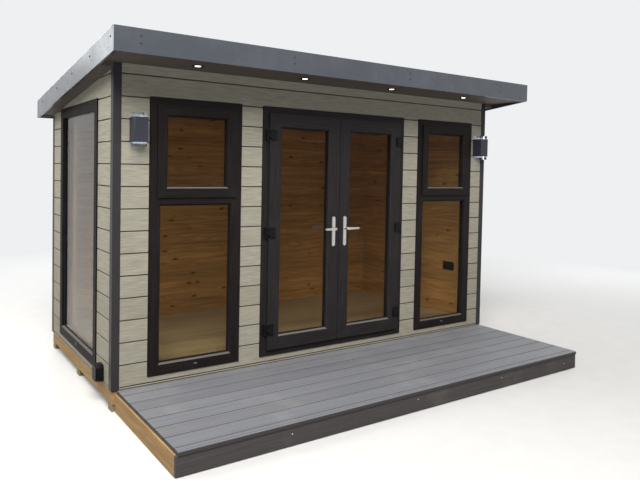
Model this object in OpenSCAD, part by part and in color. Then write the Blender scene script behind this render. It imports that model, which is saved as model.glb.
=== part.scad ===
// Garden office pod: a pent-roofed timber room with French doors and a composite deck
// Lengths are in millimetres, Z is up, and the origin is on the ground at the middle of the outline

/* [Body] */
// Width along the front, over the corner trims
body_w = 3640; // [3400:10:4800]
// Depth from the front cladding to the back cladding
body_d = 1800; // [1650:10:2600]
// Height of the deck surface above the ground
deck_top = 145; // [130:1:200]
// Height of the front soffit above the deck
soffit_h = 2184; // [2180:1:2700]

/* [Roof] */
// Fall of the roof towards the back, in degrees
roof_pitch = 6.5; // [3:0.5:6.5]
// Overhang at the front
front_overhang = 393; // [280:1:410]
// Overhang at each side
side_overhang = 120; // [80:1:200]
// Overhang at the back
back_overhang = 80; // [60:1:200]
// Height of the fascia and of the verges
fascia_h = 154; // [140:1:220]
// Thickness of the fascia boards with their metal facing
fascia_t = 18; // [12:1:30]
// Width of the folded flange along the top of the fascia
flange_w = 45; // [30:1:80]
// Thickness of the folded flange
flange_t = 4; // [2:0.5:6]
// Height of the edge trims above the roof covering
kerb_h = 12; // [6:1:20]
// Thickness of the roof covering
covering_t = 3; // [2:0.5:6]
// Thickness of the insulated roof panel
roof_panel_t = 80; // [60:1:90]
// Thickness of the soffit boards
soffit_t = 9; // [6:1:12]
// How far the side and back soffits sit above the foot of the verges
soffit_recess = 12; // [8:1:20]

/* [Walls] */
// Thickness of the cladding boards
cladding_t = 20; // [15:1:30]
// Thickness of the insulated wall panels
core_t = 100; // [75:1:140]
// Thickness of the pine lining, also round the insides of the openings
lining_t = 12; // [9:1:18]
// Gap between the deck and the foot of the cladding
cladding_gap = 5; // [2:1:15]
// Shadow gap round each frame where the cladding stops
frame_gap = 4; // [2:1:8]
// Leg of the corner trims
trim_leg = 55; // [40:1:80]
// Thickness of the corner trims
trim_t = 3; // [2:0.5:5]

/* [Base] */
// Height of the ground bearers
bearer_h = 50; // [40:1:60]
// Width of the ground bearers
bearer_w = 75; // [50:1:100]
// Thickness of the joists and rims
joist_t = 47; // [38:1:50]
// Greatest spacing of the joists
joist_pitch = 380; // [300:10:400]
// Gap left at each sawn joint in the base
saw_gap = 1; // [0.5:0.5:2]
// How far the base sits back from the cladding
base_setback = 8; // [4:1:15]
// Thickness of the floor panel
floor_panel_t = 45; // [35:1:45]
// Thickness of the floor boards
floor_board_t = 15; // [10:1:20]

/* [Deck] */
// Depth of the deck in front of the cladding
deck_d = 1055; // [700:5:1500]
// Width of a deck board
deck_board_w = 143; // [120:1:150]
// Gap between deck boards
deck_board_gap = 5; // [3:1:8]
// Narrowest strip that a board is ripped to at the wall
deck_rip_min = 30; // [20:1:60]
// Thickness of the deck boards
deck_board_t = 25; // [20:1:30]
// Bevel along the top edges of the deck boards
deck_arris = 2; // [1:0.5:4]
// Depth of the clip groove in the edges of the deck boards
groove_d = 5; // [3:0.5:7]
// Height of the clip groove
groove_h = 6; // [4:0.5:8]
// Width of the nosing board at the front edge
nosing_w = 52; // [40:1:80]
// Radius of the nosing's front top edge
nosing_r = 8; // [4:1:12]
// How far the nosing stands past the deck fascia
nosing_lap = 6; // [3:1:12]
// Distance of the board ends from the left of the body
deck_inset_l = 40; // [20:1:80]
// Distance of the board ends from the right of the body
deck_inset_r = 11; // [5:1:80]
// Width of bare joist that shows past the board ends on the left
joist_show = 12; // [6:1:20]
// Thickness of the deck fascia board
deck_fascia_t = 20; // [15:1:25]
// Clearance under the deck fascia
deck_fascia_clear = 6; // [4:1:20]

/* [Openings] */
// Height of the frame sills above the deck
sill_h = 60; // [55:1:65]
// Height of the door and window frames
opening_h = 1917; // [1590:1:1920]
// Width of each front window frame
window_w = 700; // [500:10:820]
// Distance of the left window from the left of the body
window_margin_l = 248; // [200:1:400]
// Distance of the right window from the right of the body
window_margin_r = 194; // [180:1:400]
// Width of the door frame
door_w = 1434; // [1190:1:1650]
// Width of the side window frame
side_window_w = 1111; // [600:1:1130]
// Distance of the side window from the front of the body
side_window_y = 361; // [300:1:380]
// Height of the middle of the transom above the sill
transom_z = 1219; // [900:1:1400]
// Face width of the transom
transom_face = 86; // [80:1:110]

/* [Frames] */
// Depth of the frames from face to back
frame_depth = 70; // [66:1:84]
// How far the frames stand out of the cladding
frame_proud = 8; // [4:1:12]
// Width of the window frame web against the wall
frame_web = 50; // [40:1:55]
// Width of the window frame face up to the glass
frame_face = 80; // [74:1:90]
// Width of the door frame face
door_frame_face = 70; // [62:1:80]
// Thickness of the upstand that the glass seats against
upstand_t = 22; // [18:1:26]
// Bevel towards the glass
bevel = 10; // [6:1:12]
// Thickness of the sealed glass units
glass_t = 28; // [20:1:32]
// Depth that the glass is held at its edges
glass_hold = 12; // [8:1:15]
// Clearance round the edges of the glass
glass_clear = 6; // [3:1:8]
// Width of the frame that shows round a closed sash or leaf
frame_show = 49; // [40:1:56]
// Thickness of the lip of a sash or leaf that laps the frame
lip_t = 15; // [12:1:18]
// Face width of the opener sash
sash_face = 74; // [66:1:90]
// Gap between the body of a closed sash and the upstand
sash_gap = 3; // [2:0.5:5]
// Thickness of the beads on the room side
bead_t = 14; // [10:1:18]

/* [Doors] */
// Face width of the door leaf members
leaf_face = 108; // [90:1:130]
// Gap between a leaf and the frame all round
leaf_gap = 5; // [5:0.5:8]
// Thickness of the stop that the leaves close against
stop_t = 14; // [10:1:18]
// Width of the stop past the body of the leaf
stop_lap = 10; // [8:1:14]
// Gap between the lips of the two leaves
meeting_gap = 6; // [6:0.5:10]
// Gap between the bodies of the two leaves
meeting_body_gap = 12; // [12:0.5:16]
// Height of the bottom hinge centre above the sill
hinge_low = 204; // [150:1:300]
// Distance of the top hinge centre below the top of the frame
hinge_drop = 217; // [150:1:300]
// Height of the hinges
hinge_h = 90; // [70:1:110]
// Width of the flag plates on the leaves
flag_w = 55; // [40:1:60]
// Height of the screw covers on the flag plates
cover_h = 62; // [50:1:70]
// Thickness of the screw covers
cover_t = 12; // [8:1:16]
// Radius of the hinge knuckles
knuckle_r = 8; // [6.5:0.5:9]
// Radius of the hinge pins
pin_r = 4; // [3:0.5:5]
// Distance of the hinge axis from the edge of the leaf
axis_out = 13; // [13:0.5:16]
// Distance of the hinge axis behind the face of the leaf
axis_in = 8; // [7:0.5:9]
// Running clearance of the pins and spindles
running = 0.05; // [0.02:0.01:0.08]
// Height of the levers above the sill
lever_z = 967; // [850:1:1100]
// Height of the handle plates
plate_h = 243; // [228:1:260]
// Width of the handle plates
plate_w = 32; // [26:1:38]
// Thickness of the handle plates
plate_t = 10; // [7:1:12]
// Distance from the lever centre to the top of its plate
plate_up = 98; // [60:1:120]
// Distance of the lock cylinder below the lever
cylinder_drop = 92; // [80:1:110]
// Length of the levers from the spindle
lever_l = 115; // [95:1:130]
// Height of the lever at its neck
grip_h = 19; // [15:0.5:21]
// Height of the lever at its end
grip_end_h = 15; // [12:0.5:19]
// Thickness of the lever
grip_t = 11; // [9:0.5:13]
// Clear space behind the grip
finger_gap = 38; // [30:1:45]

/* [Fittings] */
// Width of the wall lights
light_w = 96; // [70:1:120]
// Height of the wall lights
light_h = 226; // [180:1:260]
// Depth of the wall lights from the wall
light_d = 112; // [80:1:130]
// Height of the clear end at the top and foot of a wall light
light_glass_h = 30; // [20:1:45]
// Height of the wall lights' middle above the deck
light_z = 1746; // [1400:1:1850]
// Radius of the downlight rings
downlight_r = 42; // [30:1:50]
// Number of downlights
downlight_count = 4; // [2:1:4]
// Spacing of the downlights
downlight_pitch = 866; // [600:1:1100]
// Distance of the row of downlights to the left of the body's middle
downlight_shift = 20; // [0:1:60]
// Distance of the downlights in front of the cladding
downlight_y = 205; // [100:1:300]
// Width of the cable box on the left wall
cable_box_w = 100; // [80:1:120]
// Height of the cable box
cable_box_h = 120; // [90:1:150]
// Depth of the cable box
cable_box_d = 55; // [40:1:70]
// Distance of the cable box from the front of the body
cable_box_y = 170; // [80:1:200]
// Height of the cable box above the deck
cable_box_rise = 15; // [5:1:60]
// Distance of the socket plate from the front of the body
socket_y = 230; // [150:1:900]
// Height of the socket plate above the floor
socket_rise = 450; // [200:1:900]

/* [Hidden] */

$fn = 48;

bearer_colour = [0.50, 0.42, 0.30];
timber_colour = [0.62, 0.50, 0.32];
joist_colour = [0.72, 0.56, 0.34];
panel_colour = [0.70, 0.62, 0.48];
roof_panel_colour = [0.62, 0.60, 0.55];
covering_colour = [0.16, 0.16, 0.17];
soffit_colour = [0.20, 0.19, 0.18];
deck_fascia_colour = [0.24, 0.24, 0.25];
frame_colour = [0.11, 0.11, 0.12];
board_colour = [0.55, 0.53, 0.46];
metal_colour = [0.22, 0.23, 0.25];
pine_colour = [0.80, 0.60, 0.36];
steel_colour = [0.75, 0.75, 0.73];
glass_colour = [0.62, 0.72, 0.76, 0.35];
deck_colour = [0.42, 0.43, 0.45];
downlight_colour = [0.10, 0.10, 0.10];
box_colour = [0.10, 0.10, 0.11];
socket_colour = [0.08, 0.08, 0.08];

over = 50;

// Roof lines, seen from the side: y runs back from the front cladding, z up from the ground
roof_slope = tan(roof_pitch);
roof_front = -front_overhang;
roof_back = body_d + back_overhang;
soffit_z = deck_top + soffit_h;
function edge_z(y) = soffit_z + fascia_h - (y - roof_front) * roof_slope;
function covering_z(y) = edge_z(y) - kerb_h;
function panel_top_z(y) = covering_z(y) - covering_t;
function panel_foot_z(y) = panel_top_z(y) - roof_panel_t;
function ceiling_z(y) = panel_foot_z(y) - lining_t;
function verge_foot_z(y) = edge_z(y) - fascia_h;
function side_soffit_z(y) = verge_foot_z(y) + soffit_recess;

// Levels
sill_z = deck_top + sill_h;
head_z = sill_z + opening_h;
wall_foot_z = deck_top;
floor_top = deck_top + floor_panel_t + floor_board_t;
cladding_foot = deck_top + cladding_gap;
soffit_top = soffit_z + soffit_t;

// Plan lines
core_y = cladding_t;
core_back_y = body_d - cladding_t;
room_y0 = cladding_t + core_t + lining_t;
room_y1 = body_d - room_y0;
room_x0 = cladding_t + core_t + lining_t;
room_x1 = body_w - room_x0;

// Soffits and downlights
back_soffit_d = back_overhang - fascia_t;
side_soffit_end = roof_back - fascia_t - back_soffit_d - saw_gap;
back_soffit_z = verge_foot_z(roof_back) + soffit_recess;
downlight_can_r = 34;
downlight_lens_r = 27;
downlight_can_h = 20;
downlight_rim_t = 4;
downlight_bevel = 2;
downlight_x0 = body_w / 2 - downlight_shift - (downlight_count - 1) / 2 * downlight_pitch;
downlight_xs = [for (i = [0 : downlight_count - 1]) downlight_x0 + i * downlight_pitch];

// Frames in the front wall
left_window_x = window_margin_l;
right_window_x = body_w - window_margin_r - window_w;
door_x = (left_window_x + window_w + right_window_x - door_w) / 2;
door_mid = door_x + door_w / 2;
front_openings = [[left_window_x, window_w], [door_x, door_w], [right_window_x, window_w]];
frame_y = -frame_proud;
reveal_d = room_y0 - frame_y - frame_depth;
mitre_depth = 200;
bead_bed = 5;
transom_web = transom_face - 2 * (frame_face - frame_web);

// Opener sash, placed from the lip that laps the frame
sash_lap = frame_face - frame_show;
sash_w = window_w - 2 * frame_show;
sash_foot = transom_z + transom_face / 2 - sash_lap;
sash_h = opening_h - frame_show - sash_foot;
sash_body_i = sash_lap + sash_gap;
sash_back = upstand_t - lip_t + glass_t + bead_t;

// Door leaves, placed from the lips that lap the frame
lip_face = -lip_t - leaf_gap;
leaf_back = frame_depth - stop_t - leaf_gap;
leaf_body_i = door_frame_face + leaf_gap - frame_show;
leaf_w = (door_w - meeting_gap) / 2 - frame_show;
leaf_h = opening_h - 2 * frame_show;
meeting_body_i = (meeting_body_gap - meeting_gap) / 2;
leaf_glass_y = lip_face + upstand_t;
left_leaf_x = door_x + frame_show;
right_leaf_x = door_mid + meeting_gap / 2;

// Hinges and levers
axis_x_l = door_x + frame_show - axis_out;
axis_x_r = door_x + door_w - frame_show + axis_out;
leaf_face_y = frame_y + lip_face;
axis_y = leaf_face_y + axis_in;
hinge_high = opening_h - hinge_drop;
hinge_zs = [hinge_low, (hinge_low + hinge_high) / 2, hinge_high];
hinge_plate_t = 3;
hinge_edge = 6;
hinge_corner_r = 10;
knuckle_gap = 0.5;
knuckle_h = hinge_h / 3;
stile_mid = (leaf_face + meeting_gap) / 2;
spindle_r = 4.5;
spindle_bore_r = 7;
hub_r = 10.5;
hub_show = 4;
bend_r = 22;
neck_w = 16;
neck_clear = 1;
grip_face = plate_t + finger_gap + grip_t;
plate_step = 3;
plate_base_t = 7;
cylinder_r = 8.5;
cylinder_w = 10;
cylinder_h = 33;
cylinder_show = 2.5;
lever_axis_z = sill_z + lever_z;
leaf_room_y = frame_y + leaf_back;

// Fittings
light_plate_t = 8;
light_corner_r = 6;
light_glass_inset = 6;
light_bore_r = 30;
light_recess = 12;
light_xs = [
    (trim_leg + left_window_x) / 2,
    (right_window_x + window_w + body_w - trim_leg) / 2
];
cable_box_z = deck_top + cable_box_rise;
cable_box_r = 26;
cable_lid_t = 14;
cable_lid_step = 6;
gland_r = 10;
gland_l = 16;
socket_w = 146;
socket_h = 86;
socket_t = 10;
socket_r = 6;
socket_z = floor_top + socket_rise;

// Moves a piece from the wall's own corner to the frame of the whole pod
module placed() {
    translate([-body_w / 2, -(roof_back - deck_d) / 2, 0]) children();
}

// A slab whose outline is drawn in the side view, y across and z up
module side_slab(x, width) {
    translate([x, 0, 0]) rotate([90, 0, 90]) linear_extrude(width) children();
}

// A straight member along +X, mitred at both ends. Its section is a list of
// [inset from the outer edge, depth behind the face]
module mitred_member(length, section, reach) {
    intersection() {
        side_slab(0, length) polygon([for (p = section) [p[1], p[0]]]);
        translate([0, mitre_depth, 0]) rotate([90, 0, 0]) linear_extrude(2 * mitre_depth)
            polygon([[0, 0], [length, 0], [length - reach, reach], [reach, reach]]);
    }
}

// Four mitred members joined as a frame, with its outer corner at the origin
module mitred_frame(w, h, section, left_section, right_section, reach) {
    mitred_member(w, section, reach);
    translate([0, 0, h]) mirror([0, 0, 1]) mitred_member(w, section, reach);
    translate([0, 0, h]) rotate([0, 90, 0]) mitred_member(h, left_section, reach);
    translate([w, 0, 0]) rotate([0, -90, 0]) mitred_member(h, right_section, reach);
}

// A rectangle with round corners, its low corner at the origin
module rounded_rect(w, h, r) {
    translate([r, 0]) square([w - 2 * r, h]);
    translate([0, r]) square([w, h - 2 * r]);
    for (x = [r, w - r]) for (y = [r, h - r]) translate([x, y]) circle(r);
}

// Base

module base_bearers() {
    run = body_w - 2 * base_setback;
    ys = [base_setback + joist_t, body_d / 2, body_d - base_setback - joist_t];
    color(bearer_colour) placed()
        for (y = ys) translate([base_setback, y - bearer_w / 2, 0]) cube([run, bearer_w, bearer_h]);
}

module floor_frame() {
    run = body_w - 2 * base_setback;
    deep = body_d - 2 * base_setback;
    rim_h = deck_top - bearer_h;
    bays = ceil((run - joist_t) / joist_pitch);
    step = (run - joist_t) / bays;
    color(timber_colour) placed() translate([base_setback, base_setback, bearer_h]) {
        cube([run, joist_t, rim_h]);
        translate([0, deep - joist_t, 0]) cube([run, joist_t, rim_h]);
        for (i = [0 : bays]) translate([i * step, joist_t + saw_gap, 0])
            cube([joist_t, deep - 2 * (joist_t + saw_gap), rim_h]);
    }
}

module floor_panel() {
    inset = cladding_t + core_t;
    color(panel_colour) placed()
        translate([inset, inset, deck_top]) cube([body_w - 2 * inset, body_d - 2 * inset, floor_panel_t]);
}

module floor_boards() {
    color(pine_colour) placed()
        translate([room_x0, room_y0, deck_top + floor_panel_t])
            cube([room_x1 - room_x0, room_y1 - room_y0, floor_board_t]);
}

// Deck

module deck_joists() {
    x0 = deck_inset_l - joist_show;
    run = body_w - deck_inset_r - x0;
    bays = ceil((run - joist_t) / joist_pitch);
    step = (run - joist_t) / bays;
    y0 = -deck_d + nosing_lap + deck_fascia_t;
    color(joist_colour) placed()
        for (i = [0 : bays]) translate([x0 + i * step, y0, 0])
            cube([joist_t, base_setback - y0 - saw_gap, deck_top - deck_board_t]);
}

// Board with bevelled top edges and a clip groove along both sides
module deck_board_section(w) {
    z0 = (deck_board_t - groove_h) / 2;
    difference() {
        polygon([
            [0, 0], [w, 0], [w, deck_board_t - deck_arris], [w - deck_arris, deck_board_t],
            [deck_arris, deck_board_t], [0, deck_board_t - deck_arris]
        ]);
        for (y = [groove_d - over, w - groove_d]) translate([y, z0]) square([over, groove_h]);
    }
}

module nosing_section() {
    top = deck_board_t - nosing_r;
    translate([nosing_r, 0]) square([nosing_w - nosing_r, deck_board_t]);
    square([nosing_w, top]);
    translate([nosing_r, top]) circle(nosing_r);
}

module deck_boards() {
    length = body_w - deck_inset_l - deck_inset_r;
    pitch = deck_board_w + deck_board_gap;
    y_first = -deck_d + nosing_w + deck_board_gap;
    count = ceil((-y_first - deck_rip_min) / pitch);
    color(deck_colour) placed() translate([0, 0, deck_top - deck_board_t]) {
        side_slab(deck_inset_l, length) translate([-deck_d, 0]) nosing_section();
        for (i = [0 : count - 1]) {
            y = y_first + i * pitch;
            side_slab(deck_inset_l, length) translate([y, 0])
                deck_board_section(min(deck_board_w, -y - saw_gap));
        }
    }
}

module deck_fascia() {
    x0 = deck_inset_l - joist_show;
    color(deck_fascia_colour) placed()
        translate([x0, -deck_d + nosing_lap, deck_fascia_clear])
            cube([body_w - deck_inset_r - x0, deck_fascia_t, deck_top - deck_board_t - deck_fascia_clear]);
}

// Walls

module front_wall_sill() {
    color(pine_colour) placed()
        translate([cladding_t, core_y, wall_foot_z])
            cube([body_w - 2 * cladding_t, core_t, sill_z - wall_foot_z]);
}

module front_wall_piers() {
    starts = concat([cladding_t], [for (o = front_openings) o[0] + o[1]]);
    ends = concat([for (o = front_openings) o[0]], [body_w - cladding_t]);
    color(pine_colour) placed() for (i = [0 : len(starts) - 1])
        translate([starts[i], core_y, sill_z]) cube([ends[i] - starts[i], core_t, opening_h]);
}

module front_wall_head() {
    y1 = core_y + core_t;
    color(pine_colour) placed() side_slab(cladding_t, body_w - 2 * cladding_t)
        polygon([[core_y, head_z], [y1, head_z], [y1, panel_foot_z(y1)], [core_y, panel_foot_z(core_y)]]);
}

module end_wall_outline(y0, y1, foot) {
    polygon([[y0, foot], [y1, foot], [y1, panel_foot_z(y1)], [y0, panel_foot_z(y0)]]);
}

module left_wall() {
    y0 = core_y + core_t;
    y1 = body_d - y0;
    color(pine_colour) placed() difference() {
        side_slab(cladding_t, core_t) end_wall_outline(y0, y1, wall_foot_z);
        translate([cladding_t - over, side_window_y, sill_z])
            cube([core_t + 2 * over, side_window_w, opening_h]);
    }
}

module right_wall() {
    y0 = core_y + core_t;
    color(pine_colour) placed()
        side_slab(body_w - cladding_t - core_t, core_t) end_wall_outline(y0, body_d - y0, wall_foot_z);
}

module back_wall() {
    y0 = core_back_y - core_t;
    color(pine_colour) placed() side_slab(cladding_t, body_w - 2 * cladding_t)
        polygon([
            [y0, wall_foot_z], [core_back_y, wall_foot_z],
            [core_back_y, panel_foot_z(core_back_y)], [y0, panel_foot_z(y0)]
        ]);
}

// Cladding and linings

module cladding_cut(x, w) {
    translate([x - frame_gap, -over, sill_z - frame_gap])
        cube([w + 2 * frame_gap, cladding_t + 2 * over, opening_h + 2 * frame_gap]);
}

module front_cladding() {
    color(board_colour) placed() difference() {
        translate([0, 0, cladding_foot]) cube([body_w, cladding_t, soffit_z - cladding_foot]);
        for (o = front_openings) cladding_cut(o[0], o[1]);
    }
}

module side_cladding_outline() {
    y0 = cladding_t;
    y1 = body_d - cladding_t;
    polygon([
        [y0, cladding_foot], [y1, cladding_foot],
        [y1, side_soffit_z(y1) + soffit_t], [y0, side_soffit_z(y0) + soffit_t]
    ]);
}

module left_cladding() {
    color(board_colour) placed() difference() {
        side_slab(0, cladding_t) side_cladding_outline();
        translate([-over, side_window_y - frame_gap, sill_z - frame_gap])
            cube([cladding_t + 2 * over, side_window_w + 2 * frame_gap, opening_h + 2 * frame_gap]);
    }
}

module right_cladding() {
    color(board_colour) placed() side_slab(body_w - cladding_t, cladding_t) side_cladding_outline();
}

module back_cladding() {
    color(board_colour) placed() translate([0, body_d - cladding_t, cladding_foot])
        cube([body_w, cladding_t, back_soffit_z + soffit_t - cladding_foot]);
}

module wall_linings() {
    inset = cladding_t + core_t;
    color(pine_colour) placed() {
        difference() {
            side_slab(inset, body_w - 2 * inset) lining_outline(room_y0 - lining_t, room_y0);
            for (o = front_openings)
                translate([o[0], room_y0 - over, sill_z]) cube([o[1], 2 * over, opening_h]);
        }
        for (o = front_openings) translate([o[0], room_y0, sill_z]) rotate([90, 0, 0])
            linear_extrude(reveal_d) reveal_outline(o[1]);
        translate([0, side_window_y, sill_z]) side_slab(room_x0 - reveal_d, reveal_d)
            reveal_outline(side_window_w);
        side_slab(inset, body_w - 2 * inset) lining_outline(room_y1, room_y1 + lining_t);
        difference() {
            side_slab(inset, lining_t) lining_outline(room_y0 + saw_gap, room_y1 - saw_gap);
            translate([inset - over, side_window_y, sill_z]) cube([2 * over, side_window_w, opening_h]);
        }
        side_slab(room_x1, lining_t) lining_outline(room_y0 + saw_gap, room_y1 - saw_gap);
    }
}

// Boards round the inside of an opening
module reveal_outline(w) {
    difference() {
        square([w, opening_h]);
        translate([lining_t, lining_t]) square([w - 2 * lining_t, opening_h - 2 * lining_t]);
    }
}

// A stretch of lining in the side view, from the floor panel to just under the ceiling
module lining_outline(y0, y1) {
    foot = deck_top + floor_panel_t;
    polygon([[y0, foot], [y1, foot], [y1, ceiling_z(y1) - saw_gap], [y0, ceiling_z(y0) - saw_gap]]);
}

module ceiling_lining() {
    inset = cladding_t + core_t;
    y0 = core_y + core_t;
    y1 = body_d - y0;
    color(pine_colour) placed() side_slab(inset, body_w - 2 * inset)
        polygon([[y0, ceiling_z(y0)], [y1, ceiling_z(y1)], [y1, panel_foot_z(y1)], [y0, panel_foot_z(y0)]]);
}

module trim_angle(h) {
    linear_extrude(h) difference() {
        translate([-trim_t, -trim_t]) square(trim_leg);
        square(trim_leg);
    }
}

module corner_trims() {
    color(metal_colour) placed() {
        difference() {
            union() {
                translate([0, 0, deck_top]) trim_angle(soffit_z - deck_top);
                translate([body_w, 0, deck_top]) mirror([1, 0, 0]) trim_angle(soffit_z - deck_top);
            }
            for (x = [-over, body_w])
                side_slab(x, over) polygon([
                    [0, side_soffit_z(0)], [trim_leg, side_soffit_z(trim_leg) - 2 * running],
                    [trim_leg, soffit_z + over], [0, soffit_z + over]
                ]);
        }
        back_h = back_soffit_z - deck_top;
        translate([0, body_d, deck_top]) mirror([0, 1, 0]) trim_angle(back_h);
        translate([body_w, body_d, deck_top]) mirror([1, 0, 0]) mirror([0, 1, 0]) trim_angle(back_h);
    }
}

// Roof

module roof_band(y0, y1, top_drop, thickness) {
    polygon([
        [y0, edge_z(y0) - top_drop], [y1, edge_z(y1) - top_drop],
        [y1, edge_z(y1) - top_drop - thickness], [y0, edge_z(y0) - top_drop - thickness]
    ]);
}

module roof_panel() {
    x0 = -side_overhang + fascia_t;
    color(roof_panel_colour) placed()
        side_slab(x0, body_w - 2 * x0)
            roof_band(roof_front + fascia_t, roof_back - fascia_t, kerb_h + covering_t, roof_panel_t);
}

module roof_covering() {
    x0 = -side_overhang + fascia_t;
    color(covering_colour) placed()
        side_slab(x0, body_w - 2 * x0)
            roof_band(roof_front + fascia_t, roof_back - fascia_t, kerb_h, covering_t);
}

module soffits() {
    x0 = -side_overhang + fascia_t;
    side_w = side_overhang - fascia_t;
    color(soffit_colour) placed() {
        difference() {
            translate([x0, roof_front + fascia_t, soffit_z])
                cube([body_w - 2 * x0, -roof_front - fascia_t, soffit_t]);
            for (x = downlight_xs) translate([x, -downlight_y, soffit_z - over])
                cylinder(r = downlight_can_r + running, h = soffit_t + 2 * over);
        }
        for (x = [x0, body_w])
            side_slab(x, side_w) polygon([
                [saw_gap, side_soffit_z(saw_gap)], [side_soffit_end, side_soffit_z(side_soffit_end)],
                [side_soffit_end, side_soffit_z(side_soffit_end) + soffit_t],
                [saw_gap + soffit_t, side_soffit_z(saw_gap + soffit_t) + soffit_t],
                [saw_gap + soffit_t, soffit_top], [saw_gap, soffit_top]
            ]);
        translate([x0, roof_back - fascia_t - back_soffit_d, back_soffit_z])
            cube([body_w - 2 * x0, back_soffit_d, soffit_t]);
    }
}

module fascia_section() {
    polygon([
        [0, 0], [fascia_t, 0], [fascia_t, fascia_h - flange_t], [flange_w, fascia_h - flange_t],
        [flange_w, fascia_h], [0, fascia_h]
    ]);
}

module front_fascia() {
    color(metal_colour) placed()
        side_slab(-side_overhang, body_w + 2 * side_overhang)
            translate([roof_front, soffit_z]) fascia_section();
}

module back_fascia() {
    color(metal_colour) placed()
        side_slab(-side_overhang, body_w + 2 * side_overhang)
            translate([roof_back, verge_foot_z(roof_back)]) mirror([1, 0]) fascia_section();
}

// Side board of the roof, notched at the top where the front and back flanges cross it
module verge_outline(ya, yb, y0, y1) {
    polygon([
        [ya, verge_foot_z(ya)], [yb, verge_foot_z(yb)], [yb, edge_z(roof_back) - flange_t],
        [y1, edge_z(roof_back) - flange_t], [y1, edge_z(y1)], [y0, edge_z(y0)],
        [y0, edge_z(y0) - flange_t], [ya, edge_z(ya) - flange_t]
    ]);
}

module roof_verges() {
    y0 = roof_front + flange_w + saw_gap;
    y1 = roof_back - flange_w - saw_gap;
    far = body_w + side_overhang;
    color(metal_colour) placed() {
        for (x = [-side_overhang, far - fascia_t])
            side_slab(x, fascia_t) verge_outline(roof_front + fascia_t, roof_back - fascia_t, y0, y1);
        for (x = [-side_overhang, far - flange_w])
            side_slab(x, flange_w) roof_band(y0, y1, 0, flange_t);
    }
}

// Windows

// Frame section with its upstand on the weather side, [inset, depth]
function opener_section() = [
    [0, 0], [frame_face - bevel, 0], [frame_face, bevel], [frame_face, upstand_t],
    [frame_web, upstand_t], [frame_web, frame_depth], [0, frame_depth]
];

// The same frame with the bead that holds a fixed pane from the room side
function fixed_section() = concat(
    [for (i = [0 : 4]) opener_section()[i]],
    [
        [frame_web, upstand_t + glass_t], [frame_face, upstand_t + glass_t],
        [frame_face, upstand_t + glass_t + bead_t / 2], [frame_face - bevel, upstand_t + glass_t + bead_t],
        [frame_web, upstand_t + glass_t + bead_t], [frame_web, frame_depth], [0, frame_depth]
    ]
);

// Bead alone, bedded a little into the frame web
function bead_section() = [
    [frame_web - bead_bed, upstand_t + glass_t], [frame_face, upstand_t + glass_t],
    [frame_face, upstand_t + glass_t + bead_t / 2], [frame_face - bevel, upstand_t + glass_t + bead_t],
    [frame_web - bead_bed, upstand_t + glass_t + bead_t]
];

// Transom section: upstand lips above and below a narrow web, [height from the middle, depth]
function transom_section() = [
    [bevel - transom_face / 2, 0], [transom_face / 2 - bevel, 0], [transom_face / 2, bevel],
    [transom_face / 2, upstand_t], [transom_web / 2, upstand_t], [transom_web / 2, frame_depth],
    [-transom_web / 2, frame_depth], [-transom_web / 2, upstand_t], [-transom_face / 2, upstand_t],
    [-transom_face / 2, bevel]
];

module front_window_frame(x) {
    jamb = frame_web - bead_bed;
    light_h = transom_z - transom_web / 2 + frame_web;
    translate([x, frame_y, sill_z]) {
        mitred_frame(window_w, opening_h, opener_section(), opener_section(), opener_section(), frame_face);
        mitred_frame(window_w, light_h, bead_section(), bead_section(), bead_section(), frame_face);
        translate([0, 0, transom_z]) side_slab(jamb, window_w - 2 * jamb)
            polygon([for (p = transom_section()) [p[1], p[0]]]);
    }
}

module left_window_frame() {
    color(frame_colour) placed() front_window_frame(left_window_x);
}

module right_window_frame() {
    color(frame_colour) placed() front_window_frame(right_window_x);
}

module side_window_placed() {
    translate([-frame_proud, side_window_y + side_window_w, sill_z]) rotate([0, 0, -90]) children();
}

module side_window_frame() {
    color(frame_colour) placed() side_window_placed()
        mitred_frame(side_window_w, opening_h, fixed_section(), fixed_section(), fixed_section(), frame_face);
}

// Sash section from the edge of its lip; depth is measured from the face of the frame
function sash_section() = [
    [0, -lip_t], [sash_face - bevel, -lip_t], [sash_face, bevel - lip_t], [sash_face, upstand_t - lip_t],
    [sash_face - glass_hold - glass_clear, upstand_t - lip_t],
    [sash_face - glass_hold - glass_clear, upstand_t - lip_t + glass_t],
    [sash_face, upstand_t - lip_t + glass_t], [sash_face, sash_back - bead_t / 2],
    [sash_face - bevel, sash_back], [sash_body_i, sash_back], [sash_body_i, 0], [0, 0]
];

module window_sashes() {
    color(frame_colour) placed() for (x = [left_window_x, right_window_x])
        translate([x + frame_show, frame_y, sill_z + sash_foot])
            mitred_frame(sash_w, sash_h, sash_section(), sash_section(), sash_section(), sash_face);
}

// A pane that reaches into its groove on all four sides of a light
module pane(x, y, z, w, h) {
    translate([x - glass_hold, y, z - glass_hold]) cube([w + 2 * glass_hold, glass_t, h + 2 * glass_hold]);
}

module window_glass() {
    low_h = transom_z - transom_face / 2 - frame_face;
    color(glass_colour) placed() {
        for (x = [left_window_x, right_window_x]) {
            pane(x + frame_face, frame_y + upstand_t, sill_z + frame_face, window_w - 2 * frame_face, low_h);
            pane(x + frame_show + sash_face, frame_y + upstand_t - lip_t, sill_z + sash_foot + sash_face,
                sash_w - 2 * sash_face, sash_h - 2 * sash_face);
        }
        side_window_placed() pane(frame_face, upstand_t, frame_face,
            side_window_w - 2 * frame_face, opening_h - 2 * frame_face);
    }
}

// Doors

function door_frame_section() = [
    [0, 0], [door_frame_face, 0], [door_frame_face, frame_depth - stop_t],
    [door_frame_face + leaf_gap + stop_lap, frame_depth - stop_t],
    [door_frame_face + leaf_gap + stop_lap, frame_depth], [0, frame_depth]
];

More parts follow.
